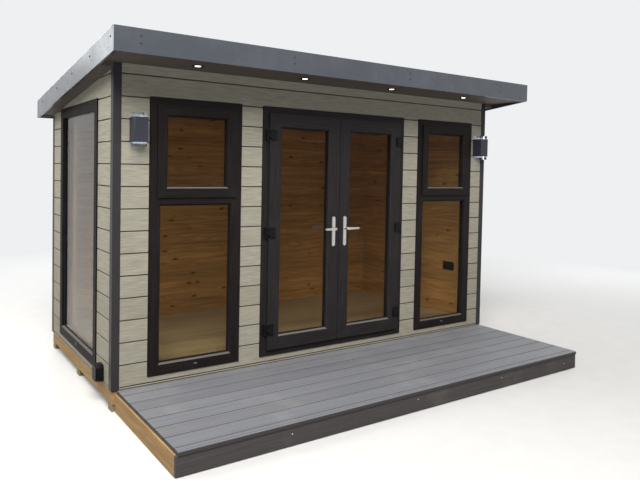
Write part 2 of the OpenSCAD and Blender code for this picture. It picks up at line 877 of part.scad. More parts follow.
module door_frame() {
    reach = door_frame_face + leaf_gap + stop_lap;
    section = door_frame_section();
    color(frame_colour) placed() translate([door_x, frame_y, sill_z])
        mitred_frame(door_w, opening_h, section, section, section, reach);
}

// Leaf section from the edge of its lip, with the body standing in from the lip by body_i
function leaf_section(body_i) = [
    [0, lip_face], [leaf_face - bevel, lip_face], [leaf_face, lip_face + bevel], [leaf_face, leaf_glass_y],
    [leaf_face - glass_hold - glass_clear, leaf_glass_y],
    [leaf_face - glass_hold - glass_clear, leaf_glass_y + glass_t],
    [leaf_face, leaf_glass_y + glass_t], [leaf_face, leaf_back - bevel],
    [leaf_face - bevel, leaf_back], [body_i, leaf_back], [body_i, -leaf_gap], [0, -leaf_gap]
];

// A leaf with its meeting stile on the right, its lip corner at the origin
module leaf_shape() {
    difference() {
        mitred_frame(leaf_w, leaf_h, leaf_section(leaf_body_i), leaf_section(leaf_body_i),
            leaf_section(meeting_body_i), leaf_face);
        for (z = [leaf_body_i - over, leaf_h - leaf_body_i])
            translate([-over, -leaf_gap, z]) cube([leaf_w + 2 * over, frame_depth, over]);
        translate([leaf_w - leaf_face / 2, 0, lever_axis_z - sill_z - frame_show])
            rotate([90, 0, 0]) cylinder(r = spindle_bore_r, h = 4 * frame_depth, center = true);
    }
}

// Puts a left-hand piece, drawn from the left leaf's corner, on the left leaf
module on_left_leaf() {
    translate([left_leaf_x, frame_y, sill_z + frame_show]) children();
}

// Mirrors a left-hand piece across the middle of the doors
module on_right_leaf() {
    translate([2 * door_mid, 0, 0]) mirror([1, 0, 0]) on_left_leaf() children();
}

module leaf_glass() {
    pane(leaf_face, leaf_glass_y, leaf_face, leaf_w - 2 * leaf_face, leaf_h - 2 * leaf_face);
}

module left_leaf() {
    color(frame_colour) placed() on_left_leaf() leaf_shape();
}

module right_leaf() {
    color(frame_colour) placed() on_right_leaf() leaf_shape();
}

module left_leaf_glass() {
    color(glass_colour) placed() on_left_leaf() leaf_glass();
}

module right_leaf_glass() {
    color(glass_colour) placed() on_right_leaf() leaf_glass();
}

// Hinge half on the frame: a screwed plate, the two outer knuckles and the pin
module frame_half(z) {
    plate_w = frame_show - axis_out - hinge_edge;
    reach = frame_y - hinge_plate_t - axis_y;
    translate([0, axis_y, z - hinge_h / 2]) {
        translate([-plate_w, reach, 0]) cube([plate_w, hinge_plate_t, hinge_h]);
        for (k = [0, 2]) translate([0, 0, k * knuckle_h]) {
            cylinder(r = knuckle_r, h = knuckle_h);
            translate([-knuckle_r, 0, 0]) cube([knuckle_r, reach + hinge_plate_t, knuckle_h]);
        }
        cylinder(r = pin_r, h = hinge_h);
    }
}

// Hinge half on the leaf: a flag plate with its screw cover, and the middle knuckle, bored for the pin
module leaf_half(z) {
    plate_x = axis_out + hinge_edge / 2;
    plate_back = axis_y - axis_in;
    arm_h = knuckle_h - 2 * knuckle_gap;
    difference() {
        union() {
            translate([plate_x, plate_back, z - hinge_h / 2]) rotate([90, 0, 0])
                linear_extrude(hinge_plate_t) rounded_rect(flag_w, hinge_h, hinge_corner_r);
            translate([plate_x, plate_back, z - cover_h / 2]) rotate([90, 0, 0])
                linear_extrude(cover_t) rounded_rect(flag_w - hinge_edge, cover_h, hinge_corner_r);
            translate([0, 0, z - arm_h / 2]) {
                translate([0, axis_y, 0]) cylinder(r = knuckle_r, h = arm_h);
                translate([0, plate_back - cover_t, 0]) cube([plate_x + hinge_corner_r, cover_t, arm_h]);
                translate([0, plate_back - cover_t, 0])
                    cube([axis_out - hinge_edge / 2, cover_t + axis_in, arm_h]);
            }
        }
        translate([0, axis_y, z - hinge_h]) cylinder(r = pin_r + running, h = 2 * hinge_h);
    }
}

module frame_hinges() {
    color(frame_colour) placed() for (z = hinge_zs) {
        translate([axis_x_l, 0, 0]) frame_half(sill_z + z);
        translate([axis_x_r, 0, 0]) mirror([1, 0, 0]) frame_half(sill_z + z);
    }
}

module left_leaf_hinges() {
    color(frame_colour) placed() translate([axis_x_l, 0, 0]) for (z = hinge_zs) leaf_half(sill_z + z);
}

module right_leaf_hinges() {
    color(frame_colour) placed() translate([axis_x_r, 0, 0]) mirror([1, 0, 0])
        for (z = hinge_zs) leaf_half(sill_z + z);
}

// A long plate with round ends, drawn flat round the lever's axis, smaller all round by inset
module plate_outline(inset) {
    r = plate_w / 2 - inset;
    top = plate_up - plate_w / 2;
    foot = plate_up - plate_h + plate_w / 2;
    translate([-r, foot]) square([2 * r, top - foot]);
    for (z = [foot, top]) translate([0, z]) circle(r);
}

// Outline of a lock cylinder: a round barrel over a narrower leg
module cylinder_outline() {
    leg_r = cylinder_w / 2;
    leg = cylinder_h - cylinder_r - leg_r;
    translate([0, -cylinder_drop]) {
        circle(cylinder_r);
        translate([-leg_r, -leg]) square([cylinder_w, leg]);
        translate([0, -leg]) circle(leg_r);
    }
}

// Plate with a raised middle and the face of its lock cylinder, standing up from its back
module handle_plate() {
    linear_extrude(plate_base_t) plate_outline(0);
    linear_extrude(plate_t) plate_outline(plate_step);
    linear_extrude(plate_t + cylinder_show) cylinder_outline();
}

// Both plates of one leaf, round the lever's axis
module handle_plates() {
    difference() {
        union() {
            translate([0, leaf_face_y, 0]) rotate([90, 0, 0]) handle_plate();
            translate([0, leaf_room_y, 0]) mirror([0, 1, 0]) rotate([90, 0, 0]) handle_plate();
        }
        rotate([90, 0, 0]) cylinder(r = hub_r + running, h = 6 * frame_depth, center = true);
    }
}

// Lever seen from above, x across and y out from the leaf: a neck, a quarter bend and a straight grip
module lever_plan() {
    end = lever_l + over;
    bend_x = neck_w / 2 - bend_r;
    bend_y = grip_face - bend_r;
    neck_y = plate_t + neck_clear;
    translate([-neck_w / 2, neck_y]) square([neck_w, bend_y - neck_y]);
    intersection() {
        translate([bend_x, bend_y]) circle(bend_r);
        union() {
            translate([-neck_w / 2, bend_y]) square([neck_w, bend_r]);
            translate([bend_x, grip_face - grip_t]) square([bend_r, grip_t]);
        }
    }
    translate([-end, grip_face - grip_t]) square([end + bend_x, grip_t]);
}

// Lever seen from the front: a bar that tapers from its neck to a round end
module lever_front() {
    r1 = grip_h / 2;
    r2 = grip_end_h / 2;
    run = lever_l - r2;
    circle(r1);
    translate([-run, 0]) circle(r2);
    polygon([[0, r1], [-run, r2], [-run, -r2], [0, -r1]]);
}

// One lever turned to the outside, its hub starting at the back of its plate
module lever_arm() {
    rotate([90, 0, 0]) cylinder(r = hub_r, h = plate_t + hub_show);
    intersection() {
        translate([0, 0, -grip_h]) mirror([0, 1, 0]) linear_extrude(2 * grip_h) lever_plan();
        rotate([90, 0, 0]) linear_extrude(grip_face) lever_front();
    }
}

// Outside and inside levers on one spindle, pointing to the left
module lever_pair() {
    translate([0, leaf_face_y, 0]) lever_arm();
    translate([0, leaf_room_y, 0]) mirror([0, 1, 0]) lever_arm();
    translate([0, leaf_room_y, 0]) rotate([90, 0, 0]) cylinder(r = spindle_r, h = leaf_room_y - leaf_face_y);
}

module left_handle_plates() {
    color(steel_colour) placed() translate([door_mid - stile_mid, 0, lever_axis_z]) handle_plates();
}

module right_handle_plates() {
    color(steel_colour) placed() translate([door_mid + stile_mid, 0, lever_axis_z]) handle_plates();
}

module left_lever() {
    color(steel_colour) placed() translate([door_mid - stile_mid, 0, lever_axis_z]) lever_pair();
}

module right_lever() {
    color(steel_colour) placed() translate([door_mid + stile_mid, 0, lever_axis_z])
        mirror([1, 0, 0]) lever_pair();
}

// Fittings

// Section of a wall light seen from above, its back against the wall plate
module light_outline(inset) {
    deep = light_d - light_plate_t;
    translate([-light_w / 2 + inset, -light_d + inset])
        rounded_rect(light_w - 2 * inset, deep - 2 * inset, light_corner_r);
}

// Box with a lamp recess in both ends, on a plate that runs past them behind the glass
module wall_lights() {
    body_h = light_h - 2 * light_glass_h;
    mid_y = -(light_d + light_plate_t) / 2;
    color(metal_colour) placed() for (x = light_xs)
        translate([x, 0, deck_top + light_z - body_h / 2]) {
            difference() {
                linear_extrude(body_h) light_outline(0);
                for (z = [light_recess - over, body_h - light_recess])
                    translate([0, mid_y, z]) cylinder(r = light_bore_r, h = over);
            }
            translate([-light_w / 4, -light_plate_t, -light_glass_h / 2])
                cube([light_w / 2, light_plate_t, body_h + light_glass_h]);
        }
}

module wall_light_glasses() {
    body_h = light_h - 2 * light_glass_h;
    mid_y = -(light_d + light_plate_t) / 2;
    color(glass_colour) placed() for (x = light_xs) for (z = [-light_h / 2, body_h / 2])
        translate([x, 0, deck_top + light_z + z]) linear_extrude(light_glass_h) difference() {
            light_outline(light_glass_inset);
            translate([0, mid_y]) circle(light_bore_r);
        }
}

// Ring that turns down to its rim, over a can with the lens set up inside
module downlight_section() {
    top = soffit_t / 2;
    polygon([
        [downlight_lens_r, 0], [downlight_can_r, -downlight_rim_t],
        [downlight_r - downlight_bevel, -downlight_rim_t],
        [downlight_r, downlight_bevel - downlight_rim_t], [downlight_r, 0], [downlight_can_r, 0],
        [downlight_can_r, downlight_can_h], [0, downlight_can_h], [0, top], [downlight_lens_r, top]
    ]);
}

module downlights() {
    color(downlight_colour) placed() for (x = downlight_xs)
        translate([x, -downlight_y, soffit_z]) rotate_extrude() downlight_section();
}

// Rounded weatherproof box with a stepped lid and a gland at its foot
module cable_box() {
    step = cable_lid_step;
    color(box_colour) placed() translate([0, cable_box_y, cable_box_z]) rotate([90, 0, -90]) {
        translate([-cable_box_w, 0, 0]) {
            linear_extrude(cable_box_d - cable_lid_t) rounded_rect(cable_box_w, cable_box_h, cable_box_r);
            translate([step, step, 0]) linear_extrude(cable_box_d)
                rounded_rect(cable_box_w - 2 * step, cable_box_h - 2 * step, cable_box_r - step);
        }
        translate([-cable_box_w / 2, gland_r - gland_l, (cable_box_d - cable_lid_t) / 2])
            rotate([-90, 0, 0]) cylinder(r = gland_r, h = gland_l);
    }
}

module wall_socket() {
    color(socket_colour) placed() translate([room_x1, socket_y, socket_z])
        rotate([90, 0, -90]) translate([-socket_w, 0, 0]) linear_extrude(socket_t)
            rounded_rect(socket_w, socket_h, socket_r);
}

base_bearers();
floor_frame();
floor_panel();
floor_boards();
deck_joists();
deck_boards();
deck_fascia();
front_wall_sill();
front_wall_piers();
front_wall_head();
left_wall();
right_wall();
back_wall();
front_cladding();
left_cladding();
right_cladding();
back_cladding();
wall_linings();
ceiling_lining();
corner_trims();
roof_panel();
roof_covering();
soffits();
front_fascia();
roof_verges();
back_fascia();
left_window_frame();
right_window_frame();
side_window_frame();
window_sashes();
window_glass();
door_frame();
frame_hinges();
left_leaf();
left_leaf_glass();
left_leaf_hinges();
left_handle_plates();
left_lever();
right_leaf();
right_leaf_glass();
right_leaf_hinges();
right_handle_plates();
right_lever();
wall_lights();
wall_light_glasses();
downlights();
cable_box();
wall_socket();
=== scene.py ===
"""Garden office pod: cladding and lining boards, fixings, glazing details, lamps, finishes and studio."""

import logging
import math
import random
from dataclasses import dataclass
from enum import Enum

import bmesh
import bpy
from mathutils import Euler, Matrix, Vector


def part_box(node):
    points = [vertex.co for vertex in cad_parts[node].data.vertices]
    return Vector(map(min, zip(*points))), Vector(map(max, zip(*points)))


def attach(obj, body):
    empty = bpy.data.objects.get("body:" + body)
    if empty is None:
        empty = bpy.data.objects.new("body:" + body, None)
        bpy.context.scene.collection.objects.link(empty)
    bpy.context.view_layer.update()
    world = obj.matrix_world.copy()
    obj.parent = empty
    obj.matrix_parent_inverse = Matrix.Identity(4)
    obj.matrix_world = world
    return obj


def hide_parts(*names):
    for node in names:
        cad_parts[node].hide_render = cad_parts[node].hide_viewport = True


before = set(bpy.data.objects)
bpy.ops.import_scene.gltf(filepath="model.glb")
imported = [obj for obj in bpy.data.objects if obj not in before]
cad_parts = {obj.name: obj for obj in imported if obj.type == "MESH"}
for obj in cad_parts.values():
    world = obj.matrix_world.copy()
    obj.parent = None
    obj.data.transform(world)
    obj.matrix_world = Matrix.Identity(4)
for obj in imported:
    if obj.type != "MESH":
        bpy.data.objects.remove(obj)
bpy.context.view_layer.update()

log = logging.getLogger("pod")

Colour = tuple[float, float, float]
Point = tuple[float, float, float]
Line = tuple[Vector, Vector]
Spot = tuple[Vector, Vector]
Inputs = dict[str | int, object]
Socket = bpy.types.NodeSocket
Node = bpy.types.Node
Material = bpy.types.Material
Object = bpy.types.Object
Mesh = bpy.types.Mesh
BMesh = bmesh.types.BMesh

BUILDING = "building"
FRONT_FRAMES = ("left_window_frame", "door_frame", "right_window_frame")
FRONT, BACK = Vector((0.0, -1.0, 0.0)), Vector((0.0, 1.0, 0.0))
LEFT, RIGHT = Vector((-1.0, 0.0, 0.0)), Vector((1.0, 0.0, 0.0))
DOWN, UP = Vector((0.0, 0.0, -1.0)), Vector((0.0, 0.0, 1.0))

# Name of the attribute that carries each point's direction or size into a geometry tree.
CARRIED = "carried"

# How near, in metres, points count as one corner, one welded point or one edge.
SAME_CORNER = 1e-6
SAME_POINT = 1e-5
SAME_EDGE = 1e-4

# Degrees under which faces count as flat, and over which an edge counts as sharp.
FLAT_ANGLE = 0.5
SHARP_ANGLE = 35.0

# Eased edge, in metres, of profiles, folded sheet and mouldings.
FINE_ARRIS = 0.0012

# Sides of a gasket's round section, of a screw head and of the other round patterns.
BEAD_SIDES = 8
SCREW_SIDES = 14
ROUND_SIDES = 28

# How far a cutting shape runs past a wall: to the sides, above its roof line and below its foot.
CUT_SIDE = 0.08
CUT_ABOVE = 0.4
CUT_BELOW = 0.2


class Axis(Enum):
    """A direction of the pod's frame, by its index in a vector."""

    X = 0
    Y = 1
    Z = 2

    def reach(self, length: float) -> Vector:
        """A vector of one length along this axis."""
        vector = Vector((0.0, 0.0, 0.0))
        vector[self.value] = length
        return vector


class Side(Enum):
    """A door leaf, by the word that starts the names of its nodes and bodies."""

    LEFT = "left"
    RIGHT = "right"


class Slot(Enum):
    """A material slot of the record."""

    CLADDING = "cladding_composite"
    PINE = "pine_lining"
    FLOOR = "floor_boards"
    METAL = "anthracite_metal"
    SOFFIT = "soffit_board"
    STEEL = "satin_steel"
    GLASS = "clear_glass"
    LAMP = "lamp_glass"
    PLASTIC = "black_plastic"
    FRAME = "frame_plastic"


class Pattern(Enum):
    """A small shape that is set on points, again and again."""

    SCREW = "screw_head"
    PLANK = "plank"
    DRAIN_CAP = "drain_cap"
    KEY_PLUG = "key_plug"
    KEY_SLOT = "key_slot"
    REFLECTOR = "reflector"
    LENS = "lens"


@dataclass(frozen=True)
class Box:
    """The lowest and highest corners of a piece.

    Attributes:
        low: Lowest corner.
        high: Highest corner.
    """

    low: Vector
    high: Vector

    @property
    def mid(self) -> Vector:
        """The middle of the box."""
        return (self.low + self.high) / 2

    @property
    def size(self) -> Vector:
        """The box's extent along each axis."""
        return self.high - self.low


def at(point: Vector, axis: Axis, value: float) -> Vector:
    """A copy of a point with one coordinate set."""
    moved = point.copy()
    moved[axis.value] = value
    return moved


def node_box(name: str) -> Box:
    """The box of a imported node."""
    low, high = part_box(name)
    return Box(Vector(low), Vector(high))


def solid_boxes(name: str) -> list[Box]:
    """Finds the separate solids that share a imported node.

    Args:
        name: The node's name.

    Returns:
        A box for each solid, sorted by its low corner.
    """
    mesh = bmesh.new()
    mesh.from_mesh(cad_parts[name].data)
    bmesh.ops.remove_doubles(mesh, verts=mesh.verts, dist=SAME_CORNER)
    mesh.verts.ensure_lookup_table()
    seen: set[int] = set()
    boxes = []
    for start in mesh.verts:
        if start.index in seen:
            continue
        seen.add(start.index)
        island, queue = [], [start]
        while queue:
            vert = queue.pop()
            island.append(vert.co.copy())
            for edge in vert.link_edges:
                other = edge.other_vert(vert)
                if other.index not in seen:
                    seen.add(other.index)
                    queue.append(other)
        low = Vector([min(p[i] for p in island) for i in range(3)])
        high = Vector([max(p[i] for p in island) for i in range(3)])
        boxes.append(Box(low, high))
    mesh.free()
    return sorted(boxes, key=lambda b: (round(b.low.x, 4), round(b.low.y, 4), round(b.low.z, 4)))


# Node trees


class NodeBuilder:
    """A node tree under construction."""

    def __init__(self, tree: bpy.types.NodeTree) -> None:
        """Takes a tree over and empties it."""
        self.tree = tree
        self.tree.nodes.clear()

    def feed(self, socket: Socket, value: object) -> None:
        """Links a socket to another, or sets its plain value."""
        if isinstance(value, Socket):
            self.tree.links.new(value, socket)
        else:
            socket.default_value = value

    def add(self, kind: str, inputs: Inputs | None = None, **settings: object) -> Node:
        """Adds a node.

        Args:
            kind: Blender's name for the node's type.
            inputs: Values or sockets for its inputs, by name or number.
            **settings: The node's own properties.

        Returns:
            The new node.
        """
        node = self.tree.nodes.new(kind)
        for name, value in settings.items():
            setattr(node, name, value)
        for key, value in (inputs or {}).items():
            self.feed(node.inputs[key], value)
        return node

    def calc(self, kind: str, *values: object, clamp: bool = False) -> Socket:
        """The result of a Math node, with the operation as Blender names it and its operands."""
        return self.add("ShaderNodeMath", dict(enumerate(values)), operation=kind, use_clamp=clamp).outputs[0]

    def seen(self) -> Socket:
        """1 for what the camera, a reflection or a glass shows, and 0 for light on its way to a surface."""
        rays = self.add("ShaderNodeLightPath").outputs
        direct = self.calc("ADD", rays["Is Camera Ray"], rays["Is Glossy Ray"])
        return self.calc("ADD", direct, rays["Is Transmission Ray"], clamp=True)

    def either(self, share: Socket, first: Node, second: Node) -> Socket:
        """Mixes two shaders, by the share of the second."""
        inputs = {0: share, 1: first.outputs[0], 2: second.outputs[0]}
        return self.add("ShaderNodeMixShader", inputs).outputs[0]


class Shader(NodeBuilder):
    """A material's node tree, with the nodes that the finishes share."""

    def __init__(self, name: str) -> None:
        """Starts an empty material of this name."""
        self.material = bpy.data.materials.new(name)
        self.material.use_nodes = True
        super().__init__(self.material.node_tree)
        self.output = self.add("ShaderNodeOutputMaterial")
        self.coords = self.add("ShaderNodeTexCoord").outputs["Object"]

    def axis(self, axis: Axis, coords: Socket | None = None) -> Socket:
        """One coordinate of a point, in metres."""
        split = self.add("ShaderNodeSeparateXYZ", {0: coords or self.coords})
        return split.outputs[axis.value]

    def stretched(self, scale: Point) -> Socket:
        """Object coordinates scaled along each axis."""
        return self.add("ShaderNodeMapping", {"Vector": self.coords, "Scale": scale}).outputs[0]

    def noise(self, coords: Socket, detail: float = 3.0, scale: float = 1.0, roughness: float = 0.55,
              twist: float = 0.0) -> Socket:
        """A noise value between 0 and 1, with its octaves, cells a metre, finer octaves and distortion."""
        inputs = {"Vector": coords, "Scale": scale, "Detail": detail, "Roughness": roughness,
                  "Distortion": twist}
        return self.add("ShaderNodeTexNoise", inputs).outputs[0]

    def hashed(self, value: Socket) -> Socket:
        """A fixed random value between 0 and 1 for each whole number."""
        return self.add("ShaderNodeTexWhiteNoise", {"W": value}, noise_dimensions="1D").outputs["Value"]

    def spread(self, value: Socket, low: float, high: float, to_low: float = 0.0,
               to_high: float = 1.0) -> Socket:
        """Maps a range of values on another one, with its ends held."""
        inputs = {"Value": value, "From Min": low, "From Max": high, "To Min": to_low, "To Max": to_high}
        return self.add("ShaderNodeMapRange", inputs).outputs[0]

    def vary(self, noise: Socket, low: float = 0.0, high: float = 1.0) -> Socket:
        """Maps the middle of a noise, where most of its values are, on a range."""
        return self.spread(noise, 0.3, 0.7, low, high)

    def facing_up(self) -> Socket:
        """The upward share of the surface's direction."""
        return self.axis(Axis.Z, self.add("ShaderNodeNewGeometry").outputs["Normal"])

    def blend(self, share: object, first: object, second: object, kind: str = "MIX") -> Socket:
        """Mixes two colours.

        Args:
            share: How much of the second colour shows.
            first: The first colour.
            second: The second colour.
            kind: Blender's name for the way they mix.

        Returns:
            The mixed colour's socket.
        """
        node = self.add("ShaderNodeMix", data_type="RGBA", blend_type=kind)
        self.feed(node.inputs[0], share)
        self.feed(node.inputs[6], opaque(first))
        self.feed(node.inputs[7], opaque(second))
        return node.outputs[2]

    def relief(self, height: Socket, depth: float, normal: object = None) -> Socket:
        """A bumped normal, with the relief's depth in metres."""
        inputs = {"Height": height, "Distance": depth, "Strength": 1.0}
        if normal is not None:
            inputs["Normal"] = normal
        return self.add("ShaderNodeBump", inputs).outputs[0]

    def surface(self, inputs: Inputs) -> Material:
        """Ends the tree in a Principled shader with these inputs, and hands over the material."""
        return self.end(self.add("ShaderNodeBsdfPrincipled", inputs).outputs[0])

    def end(self, shader: Socket) -> Material:
        """Ends the tree in a shader, and hands over the material."""
        self.feed(self.output.inputs["Surface"], shader)
        return self.material


def opaque(colour: object) -> object:
    """Adds full alpha to a plain colour, and leaves a socket as it is."""
    if isinstance(colour, tuple) and len(colour) == 3:
        return (*colour, 1.0)
    return colour


# Finishes


@dataclass(frozen=True)
class BoardCount:
    """How a wall or a deck is divided into boards.

    Attributes:
        axis: The direction in which the boards follow each other.
        start: Where the first board begins.
        pitch: Distance from board to board.
    """

    axis: Axis
    start: float
    pitch: float


@dataclass(frozen=True)
class GrainFinish:
    """Timber or a timber composite, with its grain along the boards.

    Attributes:
        name: The material's name.
        light: Colour between the streaks.
        dark: Colour of the streaks.
        tints: Two colours that the boards lean to, one or the other.
        run: Direction of the grain.
        across: Streaks a metre across the grain.
        along: Streaks a metre along it.
        boards: How the surface is divided, for tones that change from board to board.
        change: How far the tone changes between boards.
        rings: Strength of growth rings.
        knots: Colour of knots, where the timber has them.
        roughness: Roughness of the surface.
        depth: Depth of the grain's relief.
        dirt: Strength of dust and water marks.
        dust: Colour of the dust.
        joint: Half the width of the painted shade along the joints between boards.
        joint_fade: Width over which its shade goes out.
        joint_at: Place of the joint's middle from the start of a board.
        shade: Colour of the painted shade along the joints, also given to the pressed lines.
        sides: Colour painted on the boards' upright faces as shade, where asked.
        lines: Strength of long dark lines pressed into the boards.
    """

    name: str
    light: Colour
    dark: Colour
    tints: tuple[Colour, Colour] | None = None
    run: Axis = Axis.X
    across: float = 90.0
    along: float = 2.2
    boards: BoardCount | None = None
    change: float = 0.16
    rings: float = 0.0
    knots: Colour | None = None
    roughness: float = 0.62
    depth: float = 0.0005
    dirt: float = 0.0
    dust: Colour = (0.42, 0.41, 0.39)
    joint: float = 0.0
    joint_fade: float = 0.0012
    joint_at: float = 0.0
    shade: Colour = (0.016, 0.014, 0.012)
    sides: Colour | None = None
    lines: float = 0.0

    def material(self) -> Material:
        """Builds the material."""
        s = Shader(self.name)
        place = board = None
        if self.boards:
            place = s.calc("SUBTRACT", s.axis(self.boards.axis), self.boards.start)
            board = s.calc("FLOOR", s.calc("DIVIDE", place, self.boards.pitch))
        coords = self.shifted(s, board)
        streaks = s.noise(self.mapped(s, coords, self.across, self.along), detail=5.0, twist=0.25)
        fine = s.noise(self.mapped(s, coords, self.across * 4.2, self.along * 5.0), detail=2.0)
        colour = s.blend(s.spread(streaks, 0.32, 0.68), self.light, self.dark)
        if self.rings:
            colour = self.ringed(s, coords, colour)
        if self.tints:
            colour = self.tinted(s, coords, board, colour)
        if board:
            tone = s.spread(s.hashed(board), 0.0, 1.0, 1.0 - self.change, 1.0 + self.change * 0.5)
            grey = s.add("ShaderNodeCombineColor", {0: tone, 1: tone, 2: tone}).outputs[0]
            colour = s.blend(1.0, colour, grey, "MULTIPLY")
        if self.knots:
            colour = self.knotted(s, coords, colour)
        if self.dirt:
            marks = s.noise(s.coords, detail=6.0, scale=2.6, roughness=0.7)
            colour = s.blend(s.spread(marks, 0.52, 0.78, 0.0, self.dirt), colour, self.dust)
        if self.lines:
            grooves = s.noise(self.mapped(s, coords, 82.0, 0.45), detail=2.0)
            colour = s.blend(s.spread(grooves, 0.53, 0.62, 0.0, self.lines), colour, self.shade)
        # Painted shade along the joints, and on upright faces where asked.
        if self.joint:
            colour = self.painted_joint_shade(s, place, colour)
        height = s.calc("ADD", s.calc("MULTIPLY", streaks, 0.7), s.calc("MULTIPLY", fine, 0.3))
        return s.surface({"Base Color": colour, "Specular IOR Level": 0.2,
                          "Roughness": s.vary(fine, self.roughness - 0.07, self.roughness + 0.07),
                          "Normal": s.relief(height, self.depth)})

    def shifted(self, s: Shader, board: Socket | None) -> Socket:
        """Moves the pattern along the grain by its own amount on each board."""
        if board is None:
            return s.coords
        reach = s.calc("MULTIPLY", s.hashed(s.calc("ADD", board, 5.0)), 9.0)
        move = s.add("ShaderNodeCombineXYZ", {self.run.value: reach}).outputs[0]
        return s.add("ShaderNodeVectorMath", {0: s.coords, 1: move}, operation="ADD").outputs[0]

    def mapped(self, s: Shader, coords: Socket, across: float, along: float) -> Socket:
        """Coordinates scaled along and across the grain."""
        scale = tuple(along if axis is self.run else across for axis in Axis)
        return s.add("ShaderNodeMapping", {"Vector": coords, "Scale": scale}).outputs[0]

    def tinted(self, s: Shader, coords: Socket, board: Socket | None, colour: Socket) -> Socket:
        """Leans the colour to one tint or the other, in slow patches, and board by board where it can."""
        patches = s.noise(self.mapped(s, coords, 3.0, 0.9), detail=2.0)
        share = s.hashed(s.calc("ADD", board, 17.0)) if board else s.noise(s.coords, scale=1.3)
        return s.blend(s.spread(patches, 0.3, 0.75, 0.10, 0.42), colour, s.blend(share, *self.tints))

    def painted_joint_shade(self, s: Shader, place: Socket, colour: Socket) -> Socket:
        """Paints shade along the joints between the boards, and on their upright faces where asked."""
        off = s.calc("PINGPONG", s.calc("SUBTRACT", place, self.joint_at), self.boards.pitch / 2)
        edge = self.joint + self.joint_fade
        # Painted shade along each joint.
        colour = s.blend(s.spread(off, self.joint, edge, 0.90, 0.0), colour, self.shade)
        if self.sides:
            # Painted shade on the boards' upright faces.
            level = s.calc("ABSOLUTE", s.facing_up())
            colour = s.blend(s.spread(level, 0.45, 0.75, 0.92, 0.0), colour, self.sides)
        return colour

    def ringed(self, s: Shader, coords: Socket, colour: Socket) -> Socket:
        """Adds growth rings as contour lines of a stretched noise."""
        hills = s.noise(self.mapped(s, coords, 11.0, 0.8), detail=1.0, twist=0.3)
        wave = s.calc("SINE", s.calc("MULTIPLY", hills, 68.0))
        return s.blend(s.spread(wave, -0.2, 1.0, 0.0, self.rings), colour, self.dark)

    def knotted(self, s: Shader, coords: Socket, colour: Socket) -> Socket:
        """Adds knots, a little longer than wide."""
        inputs = {"Vector": self.mapped(s, coords, 9.0, 4.5), "Scale": 1.0}
        cells = s.add("ShaderNodeTexVoronoi", inputs, feature="F1").outputs["Distance"]
        return s.blend(s.spread(cells, 0.07, 0.17, 0.85, 0.0), colour, self.knots)


